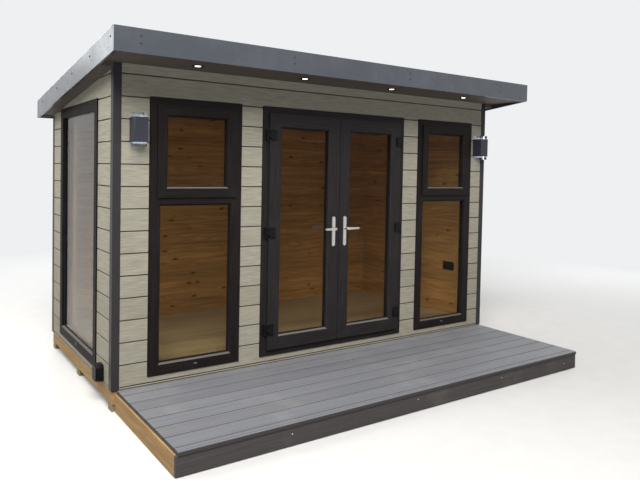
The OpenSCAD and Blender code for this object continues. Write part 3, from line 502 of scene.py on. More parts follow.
@dataclass(frozen=True)
class FrameFinish:
    """Near-black foil with a fine grain that turns with the members, seams at their mitres painted paler as
    highlights, and a painted highlight on level faces.

    Attributes:
        name: The material's name.
        across: Axis across the frame, X on the front and Y on the side.
        starts: Where each like frame begins along that axis.
        width: Width of each frame.
        foot: Height of its foot.
        height: Height of the frame.
        cross: Height of the middle of a cross member above the foot, where there is one.
        cross_half: Half the face of the cross member.
        base: Colour between the grain's streaks.
        streak: Colour of the streaks.
        sheen: Strength of the surface's reflections.
        fine: Streaks a metre across the grain.
        along: Streaks a metre along it.
        seam: Colour of the welded seams, paler than the foil as a painted highlight.
        seam_half: Half the width of a seam.
        dust: Colour of the thin dust all over.
        ledge_highlight: Colour of the painted highlight on level faces.
        depth: Depth of the grain's relief.
    """

    name: str
    across: Axis
    starts: tuple[float, ...]
    width: float
    foot: float
    height: float
    cross: float = 0.0
    cross_half: float = 0.0
    base: Colour = (0.0098, 0.0074, 0.0072)
    streak: Colour = (0.0215, 0.0170, 0.0165)
    sheen: float = 0.08
    fine: float = 170.0
    along: float = 4.0
    seam: Colour = (0.045, 0.043, 0.044)
    seam_half: float = 0.0006
    dust: Colour = (0.20, 0.19, 0.18)
    ledge_highlight: Colour = (0.36, 0.34, 0.31)
    depth: float = 0.00018

    @classmethod
    def on(cls, name: str, boxes: list[Box], across: Axis = Axis.X, **looks: object) -> "FrameFinish":
        """The finish of like frames.

        Args:
            name: The material's name.
            boxes: The frames' boxes.
            across: Axis across the frames.
            **looks: Other fields of the finish.

        Returns:
            The finish, with its sizes taken from the boxes.
        """
        i, first = across.value, boxes[0]
        starts = tuple(box.low[i] for box in boxes)
        return cls(name, across, starts, first.size[i], first.low.z, first.size.z, **looks)

    def material(self) -> Material:
        """Builds the material."""
        s = Shader(self.name)
        to_side, rise = self.place(s)
        to_end = s.calc("MINIMUM", rise, s.calc("SUBTRACT", self.height, rise))
        upright = self.upright(s, to_side, to_end, rise)
        level_scale = tuple(self.along if axis is self.across else self.fine for axis in Axis)
        tall = s.noise(s.stretched((self.fine, self.fine, self.along)), twist=0.2)
        level = s.noise(s.stretched(level_scale), twist=0.2)
        grain = s.calc("ADD", s.calc("MULTIPLY", tall, upright),
                       s.calc("MULTIPLY", level, s.calc("SUBTRACT", 1.0, upright)))
        off_mitre = s.calc("ABSOLUTE", s.calc("SUBTRACT", to_side, to_end))
        seam = s.calc("LESS_THAN", off_mitre, self.seam_half)
        colour = s.blend(s.spread(grain, 0.35, 0.72), self.base, self.streak)
        # The seams are painted paler than the foil, as a highlight along the mitres.
        colour = s.blend(s.calc("MULTIPLY", seam, 0.75), colour, self.seam)
        dust = s.noise(s.coords, detail=5.0, scale=3.1)
        colour = s.blend(s.spread(dust, 0.55, 0.85, 0.0, 0.05), colour, self.dust)
        # Painted highlight on upward faces.
        colour = s.blend(s.spread(s.facing_up(), 0.35, 0.75, 0.0, 0.40), colour, self.ledge_highlight)
        return s.surface({"Base Color": colour, "Roughness": s.vary(grain, 0.40, 0.50),
                          "Specular IOR Level": self.sheen,
                          "Normal": s.relief(s.calc("SUBTRACT", grain, seam), self.depth)})

    def place(self, s: Shader) -> tuple[Socket, Socket]:
        """Distance from the nearer side of the frame that a point is on, and height above its foot."""
        place, start = s.axis(self.across), self.starts[0]
        offset = s.calc("SUBTRACT", place, start)
        for later in self.starts[1:]:
            past = s.calc("GREATER_THAN", place, later - 0.001)
            offset = s.calc("SUBTRACT", offset, s.calc("MULTIPLY", past, later - start))
            start = later
        to_side = s.calc("MINIMUM", offset, s.calc("SUBTRACT", self.width, offset))
        return to_side, s.calc("SUBTRACT", s.axis(Axis.Z), self.foot)

    def upright(self, s: Shader, to_side: Socket, to_end: Socket, rise: Socket) -> Socket:
        """1 on the upright members, and 0 on the level ones."""
        upright = s.calc("LESS_THAN", to_side, to_end)
        if self.cross:
            off_cross = s.calc("ABSOLUTE", s.calc("SUBTRACT", rise, self.cross))
            on_level = s.calc("LESS_THAN", off_cross, self.cross_half)
            inside = s.calc("GREATER_THAN", to_side, self.cross_half)
            on_cross = s.calc("MULTIPLY", on_level, inside)
            upright = s.calc("MULTIPLY", upright, s.calc("SUBTRACT", 1.0, on_cross))
        return upright


@dataclass(frozen=True)
class CoatedFinish:
    """Coated metal or moulded plastic: a plain colour with faint dust, wear and unevenness.

    Attributes:
        name: The material's name.
        colour: The coat's colour.
        dust: Colour that gathers on it.
        dusty: The most that the dust covers.
        roughness: Roughness of the coat.
        wave: Depth of the sheet's slow waves.
        grit: Depth of the coat's fine texture.
        sheen: Strength of the surface's reflections.
    """

    name: str
    colour: Colour
    dust: Colour = (0.22, 0.21, 0.20)
    dusty: float = 0.12
    roughness: float = 0.42
    wave: float = 0.0
    grit: float = 0.00008
    sheen: float = 0.5

    def material(self) -> Material:
        """Builds the material."""
        s = Shader(self.name)
        marks = s.noise(s.coords, detail=6.0, scale=4.0, roughness=0.65)
        runs = s.noise(s.stretched((14.0, 14.0, 1.6)))
        share = s.calc("MULTIPLY", s.spread(marks, 0.42, 0.80), s.spread(runs, 0.3, 0.8, 0.3, 1.0))
        colour = s.blend(s.calc("MULTIPLY", share, self.dusty), self.colour, self.dust)
        normal = s.relief(s.noise(s.coords, detail=2.0, scale=900.0), self.grit)
        if self.wave:
            slow = s.noise(s.stretched((1.7, 1.7, 4.0)), detail=1.0)
            normal = s.relief(slow, self.wave, normal)
        rough = s.spread(marks, 0.3, 0.75, self.roughness - 0.05, self.roughness + 0.12)
        return s.surface({"Base Color": colour, "Roughness": rough, "Specular IOR Level": self.sheen,
                          "Normal": normal})


@dataclass(frozen=True)
class SteelFinish:
    """Satin steel, brushed along its length.

    Attributes:
        name: The material's name.
        run: Direction of the brushing.
        along: Brush lines a metre along the brushing.
        across: Brush lines a metre across it.
        light: Colour between the lines.
        dark: Colour of the lines.
        depth: Depth of the lines.
    """

    name: str
    run: Axis = Axis.Z
    along: float = 12.0
    across: float = 1400.0
    light: Colour = (0.66, 0.645, 0.61)
    dark: Colour = (0.53, 0.515, 0.485)
    depth: float = 0.00003

    def material(self) -> Material:
        """Builds the material."""
        s = Shader(self.name)
        scale = tuple(self.along if axis is self.run else self.across for axis in Axis)
        lines = s.noise(s.stretched(scale), detail=2.0)
        smears = s.noise(s.coords, scale=24.0)
        return s.surface({"Base Color": s.blend(s.vary(lines), self.light, self.dark), "Metallic": 1.0,
                          "Roughness": s.vary(smears, 0.27, 0.40), "Normal": s.relief(lines, self.depth)})


@dataclass(frozen=True)
class GlassFinish:
    """Clear glass that lets the lamps reach what is behind it.

    Attributes:
        name: The material's name.
        tint: Colour that the glass gives to what is seen through it.
        index: Index of refraction, low where both faces of a coated unit reflect little.
        lit: Height of the middle of a lit lamp, and how far above and below it the glass is painted with a
            glow.
        fade: Height over which the glow goes out.
        glow: Colour of the painted glow.
    """

    name: str
    tint: Colour = (0.72, 0.74, 0.72)
    index: float = 1.10
    lit: tuple[float, float] | None = None
    fade: float = 0.015
    glow: Colour = (0.16, 0.18, 0.20)

    def material(self) -> Material:
        """Builds the material."""
        s = Shader(self.name)
        smear = s.noise(s.coords, detail=4.0, scale=5.0)
        inputs = {"Base Color": opaque(self.tint), "Transmission Weight": 1.0, "IOR": self.index,
                  "Roughness": s.spread(smear, 0.5, 0.9, 0.0, 0.008)}
        if self.lit:
            # Painted glow: the glass near a lit lamp emits light of its own.
            middle, reach = self.lit
            off = s.calc("ABSOLUTE", s.calc("SUBTRACT", s.axis(Axis.Z), middle))
            near = s.spread(off, reach, reach + self.fade, 1.0, 0.0)
            inputs |= {"Emission Color": s.blend(near, (0.0, 0.0, 0.0), self.glow), "Emission Strength": 1.0}
        glass = s.add("ShaderNodeBsdfPrincipled", inputs)
        clear = s.add("ShaderNodeBsdfTransparent", {"Color": opaque(self.tint)})
        shadow = s.add("ShaderNodeLightPath").outputs["Is Shadow Ray"]
        return s.end(s.either(shadow, glass, clear))


@dataclass(frozen=True)
class LampFinish:
    """The lens of a lit lamp.

    Attributes:
        name: The material's name.
        glow: Colour of its light.
        power: Strength of its light.
        frost: Colour of the lens itself.
    """

    name: str
    glow: Colour = (1.0, 0.92, 0.78)
    power: float = 3.0
    frost: Colour = (0.9, 0.88, 0.82)

    def material(self) -> Material:
        """Builds the material."""
        s = Shader(self.name)
        grain = s.noise(s.coords, detail=2.0, scale=300.0)
        return s.surface({"Base Color": opaque(self.frost), "Roughness": s.vary(grain, 0.35, 0.5),
                          "Emission Color": opaque(self.glow), "Emission Strength": self.power})


@dataclass(frozen=True)
class MembraneFinish:
    """Dull roof membrane with dust that has settled in slow patches.

    Attributes:
        name: The material's name.
        sheet: Colour of the membrane.
        dust: Colour of the dust in the patches.
        grit: Colour of the grains on it.
        crease: Depth of the sheet's creases.
        grain: Depth of the grains.
    """

    name: str
    sheet: Colour = (0.045, 0.046, 0.049)
    dust: Colour = (0.15, 0.145, 0.135)
    grit: Colour = (0.09, 0.088, 0.085)
    crease: float = 0.006
    grain: float = 0.0003

    def material(self) -> Material:
        """Builds the material."""
        s = Shader(self.name)
        patches = s.noise(s.coords, detail=7.0, scale=1.9, roughness=0.68)
        grains = s.noise(s.coords, detail=2.0, scale=340.0)
        creases = s.noise(s.stretched((2.6, 0.9, 1.0)), detail=2.0, twist=0.6)
        colour = s.blend(s.spread(patches, 0.40, 0.80, 0.0, 0.55), self.sheet, self.dust)
        colour = s.blend(s.spread(grains, 0.4, 0.7, 0.0, 0.25), colour, self.grit)
        return s.surface({"Base Color": colour, "Roughness": s.spread(patches, 0.3, 0.8, 0.72, 0.92),
                          "Normal": s.relief(creases, self.crease, s.relief(grains, self.grain))})


class Palette:
    """The finishes that more than one sub-assembly uses, built once."""

    def __init__(self) -> None:
        """Builds the shared materials."""
        self.metal = CoatedFinish("anthracite_metal", (0.050, 0.057, 0.072), wave=0.0025, roughness=0.22,
                                  dust=(0.28, 0.29, 0.30), dusty=0.16, sheen=0.70).material()
        self.trim = CoatedFinish("corner_trim_metal", (0.040, 0.036, 0.040), dusty=0.08, roughness=0.40,
                                 sheen=0.12).material()
        self.black = CoatedFinish("black_plastic", (0.006, 0.006, 0.007), dusty=0.02, roughness=0.44,
                                  sheen=0.10).material()
        self.hinge = CoatedFinish("hinge_black", (0.006, 0.006, 0.006), dusty=0.02, roughness=0.44,
                                  sheen=0.12).material()
        self.rubber = CoatedFinish("gasket_rubber", (0.008, 0.008, 0.008), dusty=0.02, roughness=0.66,
                                   sheen=0.2).material()
        self.light_body = CoatedFinish("light_body", (0.030, 0.032, 0.046), dusty=0.06, roughness=0.42,
                                       sheen=0.3).material()
        self.bezel = CoatedFinish("downlight_bezel", (0.004, 0.004, 0.004), dusty=0.02, sheen=0.15).material()
        self.screw = CoatedFinish("screw_black", (0.020, 0.020, 0.022), roughness=0.45).material()
        self.drain = CoatedFinish("drain_cap_plastic", (0.16, 0.155, 0.150), roughness=0.4).material()
        self.steel = SteelFinish("satin_steel").material()
        self.grip = SteelFinish("satin_lever_steel", Axis.X).material()
        self.glass = GlassFinish("clear_glass").material()
        self.lamp_lens = LampFinish("lamp_lens", (0.85, 0.93, 1.0), 0.5).material()
        self.downlight_lens = LampFinish("downlight_lens").material()
        self.sheathing = GrainFinish("sheathing_panel", (0.60, 0.48, 0.31), (0.46, 0.35, 0.20), across=35.0,
                                     rings=0.5).material()


def dress(material: Material, *nodes: str) -> None:
    """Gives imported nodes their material.

    Args:
        material: The finish.
        *nodes: The nodes' names.
    """
    for name in nodes:
        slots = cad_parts[name].data.materials
        slots.clear()
        slots.append(material)
        log.info("dressed %s in %s", name, material.name)


# Meshes


def new_object(name: str, mesh: Mesh, material: Material | None = None) -> Object:
    """Puts a mesh in the scene at the origin.

    Args:
        name: The piece's name.
        mesh: Its mesh.
        material: Its finish, where the mesh doesn't hold one yet.

    Returns:
        The new object.
    """
    piece = bpy.data.objects.new(name, mesh)
    bpy.context.scene.collection.objects.link(piece)
    if material is not None:
        mesh.materials.clear()
        mesh.materials.append(material)
    return piece


def prism(mesh: BMesh, outline: list[Vector], run: Vector) -> None:
    """Adds a closed prism.

    Args:
        mesh: The mesh that it joins.
        outline: Its outline, as points in one plane.
        run: From this outline to the far one.
    """
    near = [mesh.verts.new(p) for p in outline]
    far = [mesh.verts.new(p + run) for p in outline]
    mesh.faces.new(near)
    mesh.faces.new(far[::-1])
    for i, vert in enumerate(near):
        j = (i + 1) % len(near)
        mesh.faces.new((vert, far[i], far[j], near[j]))


def block(mesh: BMesh, low: Vector, high: Vector) -> None:
    """Adds a rectangular block between two corners."""
    outline = [Vector((low.x, low.y, low.z)), Vector((high.x, low.y, low.z)),
               Vector((high.x, high.y, low.z)), Vector((low.x, high.y, low.z))]
    prism(mesh, outline, Vector((0, 0, high.z - low.z)))


def to_mesh(name: str, mesh: BMesh) -> Mesh:
    """Turns the faces outwards and hands over a plain mesh.

    Args:
        name: The mesh's name.
        mesh: The mesh under construction, which is freed.

    Returns:
        The finished mesh.
    """
    if mesh.faces:
        bmesh.ops.recalc_face_normals(mesh, faces=mesh.faces)
    result = bpy.data.meshes.new(name)
    mesh.to_mesh(result)
    mesh.free()
    return result


def solid(name: str, mesh: BMesh, material: Material) -> Object:
    """Puts a mesh under construction in the scene as one piece, in its finish."""
    return new_object(name, to_mesh(name, mesh), material)


def points_mesh(name: str, spots: list[Spot]) -> Mesh:
    """A mesh of loose points, each with the direction or the size that it carries."""
    mesh = bpy.data.meshes.new(name)
    mesh.from_pydata([tuple(place) for place, _ in spots], [], [])
    layer = mesh.attributes.new(CARRIED, "FLOAT_VECTOR", "POINT")
    for i, (_, carried) in enumerate(spots):
        layer.data[i].vector = carried
    return mesh


def loops_mesh(name: str, loops: list[list[Vector]]) -> Mesh:
    """A mesh of edges only, with one closed line for each loop of points."""
    points, edges = [], []
    for loop in loops:
        start = len(points)
        points.extend(tuple(p) for p in loop)
        edges.extend((start + i, start + (i + 1) % len(loop)) for i in range(len(loop)))
    mesh = bpy.data.meshes.new(name)
    mesh.from_pydata(points, edges, [])
    return mesh


def bridge(mesh: BMesh, rings: list[list[bmesh.types.BMVert]]) -> None:
    """Joins rings of points into a closed skin, with a flat face in the first ring and in the last."""
    mesh.faces.new(rings[0])
    mesh.faces.new(rings[-1])
    for inner, outer in zip(rings, rings[1:]):
        for i, vert in enumerate(inner):
            j = (i + 1) % len(inner)
            mesh.faces.new((vert, inner[j], outer[j], outer[i]))


def plain_box(mesh: BMesh, low: Vector, high: Vector, arris: float) -> None:
    """Adds a block whose edges are all eased.

    Args:
        mesh: The mesh that it joins.
        low: Its lowest corner.
        high: Its highest corner.
        arris: Width of the eased edges.
    """
    part = bmesh.new()
    block(part, low, high)
    bmesh.ops.recalc_face_normals(part, faces=part.faces)
    bmesh.ops.bevel(part, geom=list(part.edges), offset=arris, segments=2, profile=0.5, affect="EDGES")
    made = bpy.data.meshes.new("part")
    part.to_mesh(made)
    part.free()
    mesh.from_mesh(made)
    bpy.data.meshes.remove(made)


def turned(profile: list[tuple[float, float]], sides: int = ROUND_SIDES) -> Mesh:
    """A round pattern of radius 1 that faces up.

    Args:
        profile: Radius and height of its rings, from the top to the foot.
        sides: Number of sides.

    Returns:
        The closed mesh.
    """
    mesh = bmesh.new()
    angles = [math.tau * i / sides for i in range(sides)]
    bridge(mesh, [[mesh.verts.new((radius * math.cos(a), radius * math.sin(a), height)) for a in angles]
                  for radius, height in profile])
    return to_mesh("turned_pattern", mesh)


def plank_shape() -> Mesh:
    """A plank one unit long, wide and thick, with its foot at the origin and its top edges eased."""
    half, ease, ease_foot = 0.5, 0.004, 0.93
    mesh = bmesh.new()
    outline = [Vector((-half, y, z)) for y, z in (
        (-half, 0.0), (half, 0.0), (half, ease_foot), (half - ease, 1.0), (ease - half, 1.0),
        (-half, ease_foot))]
    prism(mesh, outline, Axis.X.reach(1.0))
    return to_mesh("plank_pattern", mesh)


def drain_cap_shape() -> Mesh:
    """An oval cap, two units long and facing up, with a sloping brow."""
    sides, end_radius, straight, brow_pull = 24, 0.34, 0.66, 0.99
    mesh = bmesh.new()
    rings = []
    for reach, height in ((0.80, 0.13), (0.95, 0.09), (1.0, -0.05)):
        ring = []
        for i in range(sides):
            angle = math.tau * i / sides
            across = end_radius * math.sin(angle) * reach
            along = straight * math.copysign(1.0, math.cos(angle)) + end_radius * math.cos(angle) * reach
            ring.append(mesh.verts.new((along if reach == 1.0 else along * brow_pull, across, height)))
        rings.append(ring)
    bridge(mesh, rings)
    return to_mesh("drain_cap_pattern", mesh)


def key_slot_shape() -> Mesh:
    """The dark slot of a key plug, as a thin block that stands just proud of it, facing up."""
    mesh = bmesh.new()
    block(mesh, Vector((-0.16, -0.62, 0.10)), Vector((0.16, 0.62, 0.17)))
    return to_mesh("key_slot_pattern", mesh)


def soften(width: float, *nodes: str) -> None:
    """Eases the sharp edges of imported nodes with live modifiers, and leaves their meshes alone.

    Args:
        width: Width of the eased edges.
        *nodes: The nodes' names.
    """
    for name in nodes:
        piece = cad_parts[name]
        weld = piece.modifiers.new("joined", "WELD")
        weld.merge_threshold = SAME_POINT
        flat = piece.modifiers.new("flat_faces", "DECIMATE")
        flat.decimate_type = "DISSOLVE"
        flat.angle_limit = math.radians(FLAT_ANGLE)
        arris = piece.modifiers.new("arris", "BEVEL")
        arris.width = width
        arris.segments = 2
        arris.limit_method = "ANGLE"
        arris.angle_limit = math.radians(SHARP_ANGLE)
        log.info("%s: edges eased by %.1f mm", name, width * 1000)


def settle(piece: Object, body: str, slot: Slot, *stands_for: str) -> None:
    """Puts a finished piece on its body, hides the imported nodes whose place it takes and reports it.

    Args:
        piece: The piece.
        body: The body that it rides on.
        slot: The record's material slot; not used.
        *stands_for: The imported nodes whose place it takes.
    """
    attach(piece, body)
    for node in stands_for:
        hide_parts(node)
    log.info("%s: %d faces on %s", piece.name, len(piece.data.polygons), body)


def side_line(name: str, upper: bool) -> Line:
    """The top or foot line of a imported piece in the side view.

    Args:
        name: The node's name.
        upper: Whether the top line is wanted, and not the foot.

    Returns:
        The line's points at the front and at the back.
    """
    points = [v.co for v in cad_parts[name].data.vertices]
    pick = max if upper else min
    front, back = (Vector((0.0, edge, pick(p.z for p in points if abs(p.y - edge) < SAME_EDGE)))
                   for edge in (min(p.y for p in points), max(p.y for p in points)))
    return front, back


def height_on(line: Line, y: float) -> float:
    """Height of a line in the side view, also past its ends."""
    near, far = line
    return near.z + (y - near.y) * (far.z - near.z) / (far.y - near.y)


# Geometry node trees


class GrowthTree(NodeBuilder):
    """A geometry node tree with named inputs."""

    def __init__(self, name: str) -> None:
        """Starts a tree of this name, that takes and gives geometry."""
        super().__init__(bpy.data.node_groups.new(name, "GeometryNodeTree"))
        self.identifiers: dict[str, str] = {}
        for way in ("INPUT", "OUTPUT"):
            self.tree.interface.new_socket("Geometry", in_out=way, socket_type="NodeSocketGeometry")
        self.inputs = self.add("NodeGroupInput")
        self.outputs = self.add("NodeGroupOutput")

    @property
    def geometry(self) -> Socket:
        """The geometry that the tree starts from."""
        return self.inputs.outputs["Geometry"]

    def input(self, name: str, kind: str) -> Socket:
        """Adds a named input, of a kind such as Float, and hands over its socket inside the tree."""
        socket = self.tree.interface.new_socket(name, in_out="INPUT", socket_type="NodeSocket" + kind)
        self.identifiers[name] = socket.identifier
        return self.inputs.outputs[name]

    def carried(self) -> Socket:
        """The direction or the size that each point carries."""
        inputs = {"Name": CARRIED}
        return self.add("GeometryNodeInputNamedAttribute", inputs, data_type="FLOAT_VECTOR").outputs[0]

    def shape(self, piece: Socket) -> Socket:
        """The geometry of an object."""
        return self.add("GeometryNodeObjectInfo", {"Object": piece}).outputs["Geometry"]

    def placed(self, shape: Socket, points: Socket, **inputs: Socket) -> Socket:
        """Sets a shape on points."""
        values = {"Points": points, "Instance": shape, **inputs}
        return self.add("GeometryNodeInstanceOnPoints", values).outputs[0]

    def end(self, geometry: Socket, material: Socket) -> None:
        """Ends the tree: instances become real, and the material is set."""
        real = self.add("GeometryNodeRealizeInstances", {0: geometry}).outputs[0]
        dressed = self.add("GeometryNodeSetMaterial", {"Geometry": real, "Material": material})
        self.feed(self.outputs.inputs[0], dressed.outputs[0])

    def grow(self, name: str, base: Mesh, values: dict[str, object]) -> Object:
        """Runs the tree on a mesh and keeps the result as a plain one.

        Args:
            name: Name of the piece that comes out.
            base: The mesh that the tree starts from.
            values: The tree's inputs, by their names.

        Returns:
            The finished piece, with no modifier.
        """
        start = new_object(name + "_base", base)
        modifier = start.modifiers.new("growth", "NODES")
        modifier.node_group = self.tree
        for key, value in values.items():
            modifier[self.identifiers[key]] = value
        graph = bpy.context.evaluated_depsgraph_get()
        mesh = bpy.data.meshes.new_from_object(start.evaluated_get(graph))
        mesh.name = name
        bpy.data.objects.remove(start)
        for attribute in [a for a in mesh.attributes if a.name == CARRIED]:
            mesh.attributes.remove(attribute)
        return new_object(name, mesh)


def board_rows_tree() -> GrowthTree:
    """A tree that repeats one board in rows, and cuts the openings out of all of them."""
    tree = GrowthTree("board_rows")
    rows = tree.input("Rows", "Int")
    step = tree.input("Step", "Vector")
    cutter = tree.input("Cutter", "Object")
    material = tree.input("Material", "Material")
    line = tree.add("GeometryNodeMeshLine", {"Count": rows, "Offset": step}, mode="OFFSET").outputs[0]
    boards = tree.add("GeometryNodeRealizeInstances", {0: tree.placed(tree.geometry, line)}).outputs[0]
    cut = tree.add("GeometryNodeMeshBoolean", {"Mesh 1": boards, "Mesh 2": tree.shape(cutter)},
                   operation="DIFFERENCE", solver="EXACT").outputs[0]
    tree.end(cut, material)
    return tree


def fixing_tree() -> GrowthTree:
    """A tree that sets a fixing on each point, facing as the point says, turned by up to the twist."""
    tree = GrowthTree("fixings")
    head = tree.input("Head", "Object")
    radius = tree.input("Radius", "Float")
    seed = tree.input("Seed", "Int")
    twist = tree.input("Twist", "Float")
    material = tree.input("Material", "Material")
    aligned = tree.add("FunctionNodeAlignRotationToVector", {"Vector": tree.carried()}, axis="Z").outputs[0]
    angle = tree.add("FunctionNodeRandomValue", {2: 0.0, 3: twist, "Seed": seed}, data_type="FLOAT")
    about = tree.add("ShaderNodeCombineXYZ", {2: angle.outputs[1]}).outputs[0]
    spin = tree.add("FunctionNodeEulerToRotation", {0: about}).outputs[0]
    turn = tree.add("FunctionNodeRotateRotation", {0: aligned, 1: spin}, rotation_space="LOCAL").outputs[0]
    size = tree.add("ShaderNodeCombineXYZ", {0: radius, 1: radius, 2: radius}).outputs[0]
    placed = tree.placed(tree.shape(head), tree.geometry, Rotation=turn, Scale=size)
    tree.end(placed, material)
    return tree


def plank_tree() -> GrowthTree:
    """A tree that lays a plank of its own length and width on each point."""
    tree = GrowthTree("planks")
    plank = tree.input("Plank", "Object")
    material = tree.input("Material", "Material")
    tree.end(tree.placed(tree.shape(plank), tree.geometry, Scale=tree.carried()), material)
    return tree


def bead_tree() -> GrowthTree:
    """A tree that lays a round bead along each line of a mesh."""
    tree = GrowthTree("beads")
    radius = tree.input("Radius", "Float")
    sides = tree.input("Sides", "Int")
    material = tree.input("Material", "Material")
    curve = tree.add("GeometryNodeMeshToCurve", {"Mesh": tree.geometry}).outputs[0]
    section = tree.add("GeometryNodeCurvePrimitiveCircle", {"Radius": radius, "Resolution": sides}).outputs[0]
    bead = tree.add("GeometryNodeCurveToMesh", {"Curve": curve, "Profile Curve": section, "Fill Caps": True})
    tree.end(bead.outputs[0], material)
    return tree


class Workshop:
    """The shared trees, patterns and finishes that the sub-assemblies are made with."""

    def __init__(self) -> None:
        """Builds the palette, the trees and the patterns."""
        self.palette = Palette()
        self.rows = board_rows_tree()
        self.fixings = fixing_tree()
        self.planks = plank_tree()
        self.beads = bead_tree()
        shapes = {
            Pattern.SCREW: turned([(0.34, 0.30), (0.42, 0.52), (0.72, 0.44), (1.0, 0.16), (1.0, -0.25)],
                                  SCREW_SIDES),
            Pattern.KEY_PLUG: turned([(0.88, 0.16), (1.0, 0.08), (1.0, -0.1)]),
            Pattern.KEY_SLOT: key_slot_shape(),
            Pattern.REFLECTOR: turned([(0.80, 0.02), (0.96, 0.16), (1.0, 0.14), (1.0, -0.05)]),
            Pattern.LENS: turned([(0.30, 0.10), (0.55, 0.085), (0.78, 0.045), (0.90, 0.0), (0.90, -0.16)]),
            Pattern.PLANK: plank_shape(),
            Pattern.DRAIN_CAP: drain_cap_shape()}
        self.patterns = {pattern: new_object(pattern.value, mesh) for pattern, mesh in shapes.items()}

    def boards(self, name: str, board: Mesh, rows: int, step: Vector, cuts: Mesh,
               material: Material) -> Object:
        """Repeats a board and cuts the openings.

        Args:
            name: The piece's name.
            board: The first board.
            rows: Number of boards.
            step: From one board to the next.
            cuts: What is cut away.
            material: The boards' finish.

        Returns:
            All the boards as one piece.
        """
        cutter = new_object(name + "_cutter", cuts)
        values = {"Rows": rows, "Step": step, "Cutter": cutter, "Material": material}
        piece = self.rows.grow(name, board, values)
        bpy.data.objects.remove(cutter)
        return piece

    def fix(self, name: str, pattern: Pattern, spots: list[Spot], radius: float, body: str, slot: Slot,
            material: Material, seed: int = 0, twist: float = 0.0) -> None:
        """Sets a pattern on points, as one piece.

        Args:
            name: The piece's name.
            pattern: The shape that is repeated.
            spots: Where it sits and the direction that it faces, for each one.
            radius: Size of one, by its half width.
            body: The body that they ride on.
            slot: The record's material slot.
            material: Their finish.
            seed: Seed for the angles that they are turned by.
            twist: The largest of those angles.
        """
        values = {"Head": self.patterns[pattern], "Radius": radius, "Seed": seed, "Twist": twist,
                  "Material": material}
        settle(self.fixings.grow(name, points_mesh(name, spots), values), body, slot)

    def screws(self, name: str, spots: list[Spot], radius: float, slot: Slot, seed: int,
               material: Material | None = None) -> None:
        """Sets screw heads on the building, black where no finish is given, turned to all angles."""
        finish = material or self.palette.screw
        self.fix(name, Pattern.SCREW, spots, radius, BUILDING, slot, finish, seed, math.tau)

    def gaskets(self, name: str, loops: list[list[Vector]], radius: float, body: str) -> None:
        """Lays a rubber bead along each closed line of points, as one piece."""
        values = {"Radius": radius, "Sides": BEAD_SIDES, "Material": self.palette.rubber}
        settle(self.beads.grow(name, loops_mesh(name, loops), values), body, Slot.PLASTIC)

    def clear(self) -> None:
        """Removes the patterns, which were only there to be repeated."""
        for pattern in self.patterns.values():
            bpy.data.objects.remove(pattern)


# Boards


@dataclass(frozen=True)
class BoardProfile:
    """Section of a wall board, with the joint that it makes with the next one up.

    Attributes:
        pitch: Cover height of a board.
        groove: Height of the open joint.
        groove_depth: Depth of the open joint.
        top: Chamfer at the top of the face.
        foot: Chamfer at its foot.
        gap: Clearance between boards behind the joint.
    """

    pitch: float
    groove: float
    groove_depth: float
    top: float
    foot: float
    gap: float = 0.0002

    def section(self, thickness: float) -> list[tuple[float, float]]:
        """The board's outline.

        Args:
            thickness: The board's thickness.

        Returns:
            Depth behind the face and height above the foot, point by point.
        """
        low, high = self.gap / 2, self.pitch - self.gap / 2
        brow = self.pitch - self.groove
        return [(self.foot, low), (thickness, low), (thickness, high), (self.groove_depth, high),
                (self.groove_depth, brow), (self.top, brow), (0.0, brow - self.top), (0.0, low + self.foot)]


@dataclass(frozen=True)
class Wall:
    """One boarded face.

    Attributes:
        name: Name of the piece.
        box: The space that the boards fill.
        run: Direction of the boards.
        outward: Sign of the direction in which the boards' faces look.
        roof: The line under which the boards stop, in the side view.
        openings: Boxes of the frames that stand in the wall.
    """

    name: str
    box: Box
    run: Axis
    outward: int
    roof: Line
    openings: tuple[Box, ...] = ()

    @property
    def across(self) -> Axis:
        """The horizontal direction through the wall."""
        return Axis.Y if self.run is Axis.X else Axis.X

    def board(self, profile: BoardProfile, start: float) -> Mesh:
        """The lowest board.

        Args:
            profile: The board's section.
            start: Height of its foot.

        Returns:
            The board's mesh.
        """
        mesh = bmesh.new()
        low, through = self.box.low, self.across.value
        face = (low if self.outward < 0 else self.box.high)[through]
        outline = [at(at(low, self.across, face - self.outward * depth), Axis.Z, start + height)
                   for depth, height in profile.section(self.box.size[through])]
        prism(mesh, outline, self.run.reach(self.box.size[self.run.value]))
        return to_mesh(self.name + "_board", mesh)

    def cuts(self, clear: float) -> Mesh:
        """What is cut from the boards: below the foot, above the roof line and at the openings.

        Args:
            clear: Clearance round the frames.

        Returns:
            The cutting mesh.
        """
        mesh = bmesh.new()
        low = self.box.low - Vector((CUT_SIDE, CUT_SIDE, CUT_SIDE))
        high = self.box.high + Vector((CUT_SIDE, CUT_SIDE, CUT_ABOVE))
        block(mesh, low - Axis.Z.reach(CUT_BELOW), at(high, Axis.Z, self.box.low.z))
        brow = [Vector((low.x, y, z)) for y, z in (
            (low.y, height_on(self.roof, low.y)), (high.y, height_on(self.roof, high.y)),
            (high.y, high.z), (low.y, high.z))]
        prism(mesh, brow, Axis.X.reach(high.x - low.x))
        margin, through = Vector((clear, clear, clear)), self.across.value
        for opening in self.openings:
            block(mesh, at(opening.low - margin, self.across, low[through]),
                  at(opening.high + margin, self.across, high[through]))
        return to_mesh(self.name + "_cuts", mesh)

    def lay(self, shop: Workshop, profile: BoardProfile, start: float, clear: float,
            material: Material) -> Object:
        """Lays the wall's boards.

        Args:
            shop: The shared trees and finishes.
            profile: The boards' section.
            start: Height of the lowest board's foot.
            clear: Clearance round the frames.
            material: The boards' finish.

        Returns:
            The boards as one piece.
        """
        top = max(height_on(self.roof, self.box.low.y), height_on(self.roof, self.box.high.y))
        rows = math.ceil((top - start) / profile.pitch)
        return shop.boards(self.name, self.board(profile, start), rows, Axis.Z.reach(profile.pitch),
                           self.cuts(clear), material)


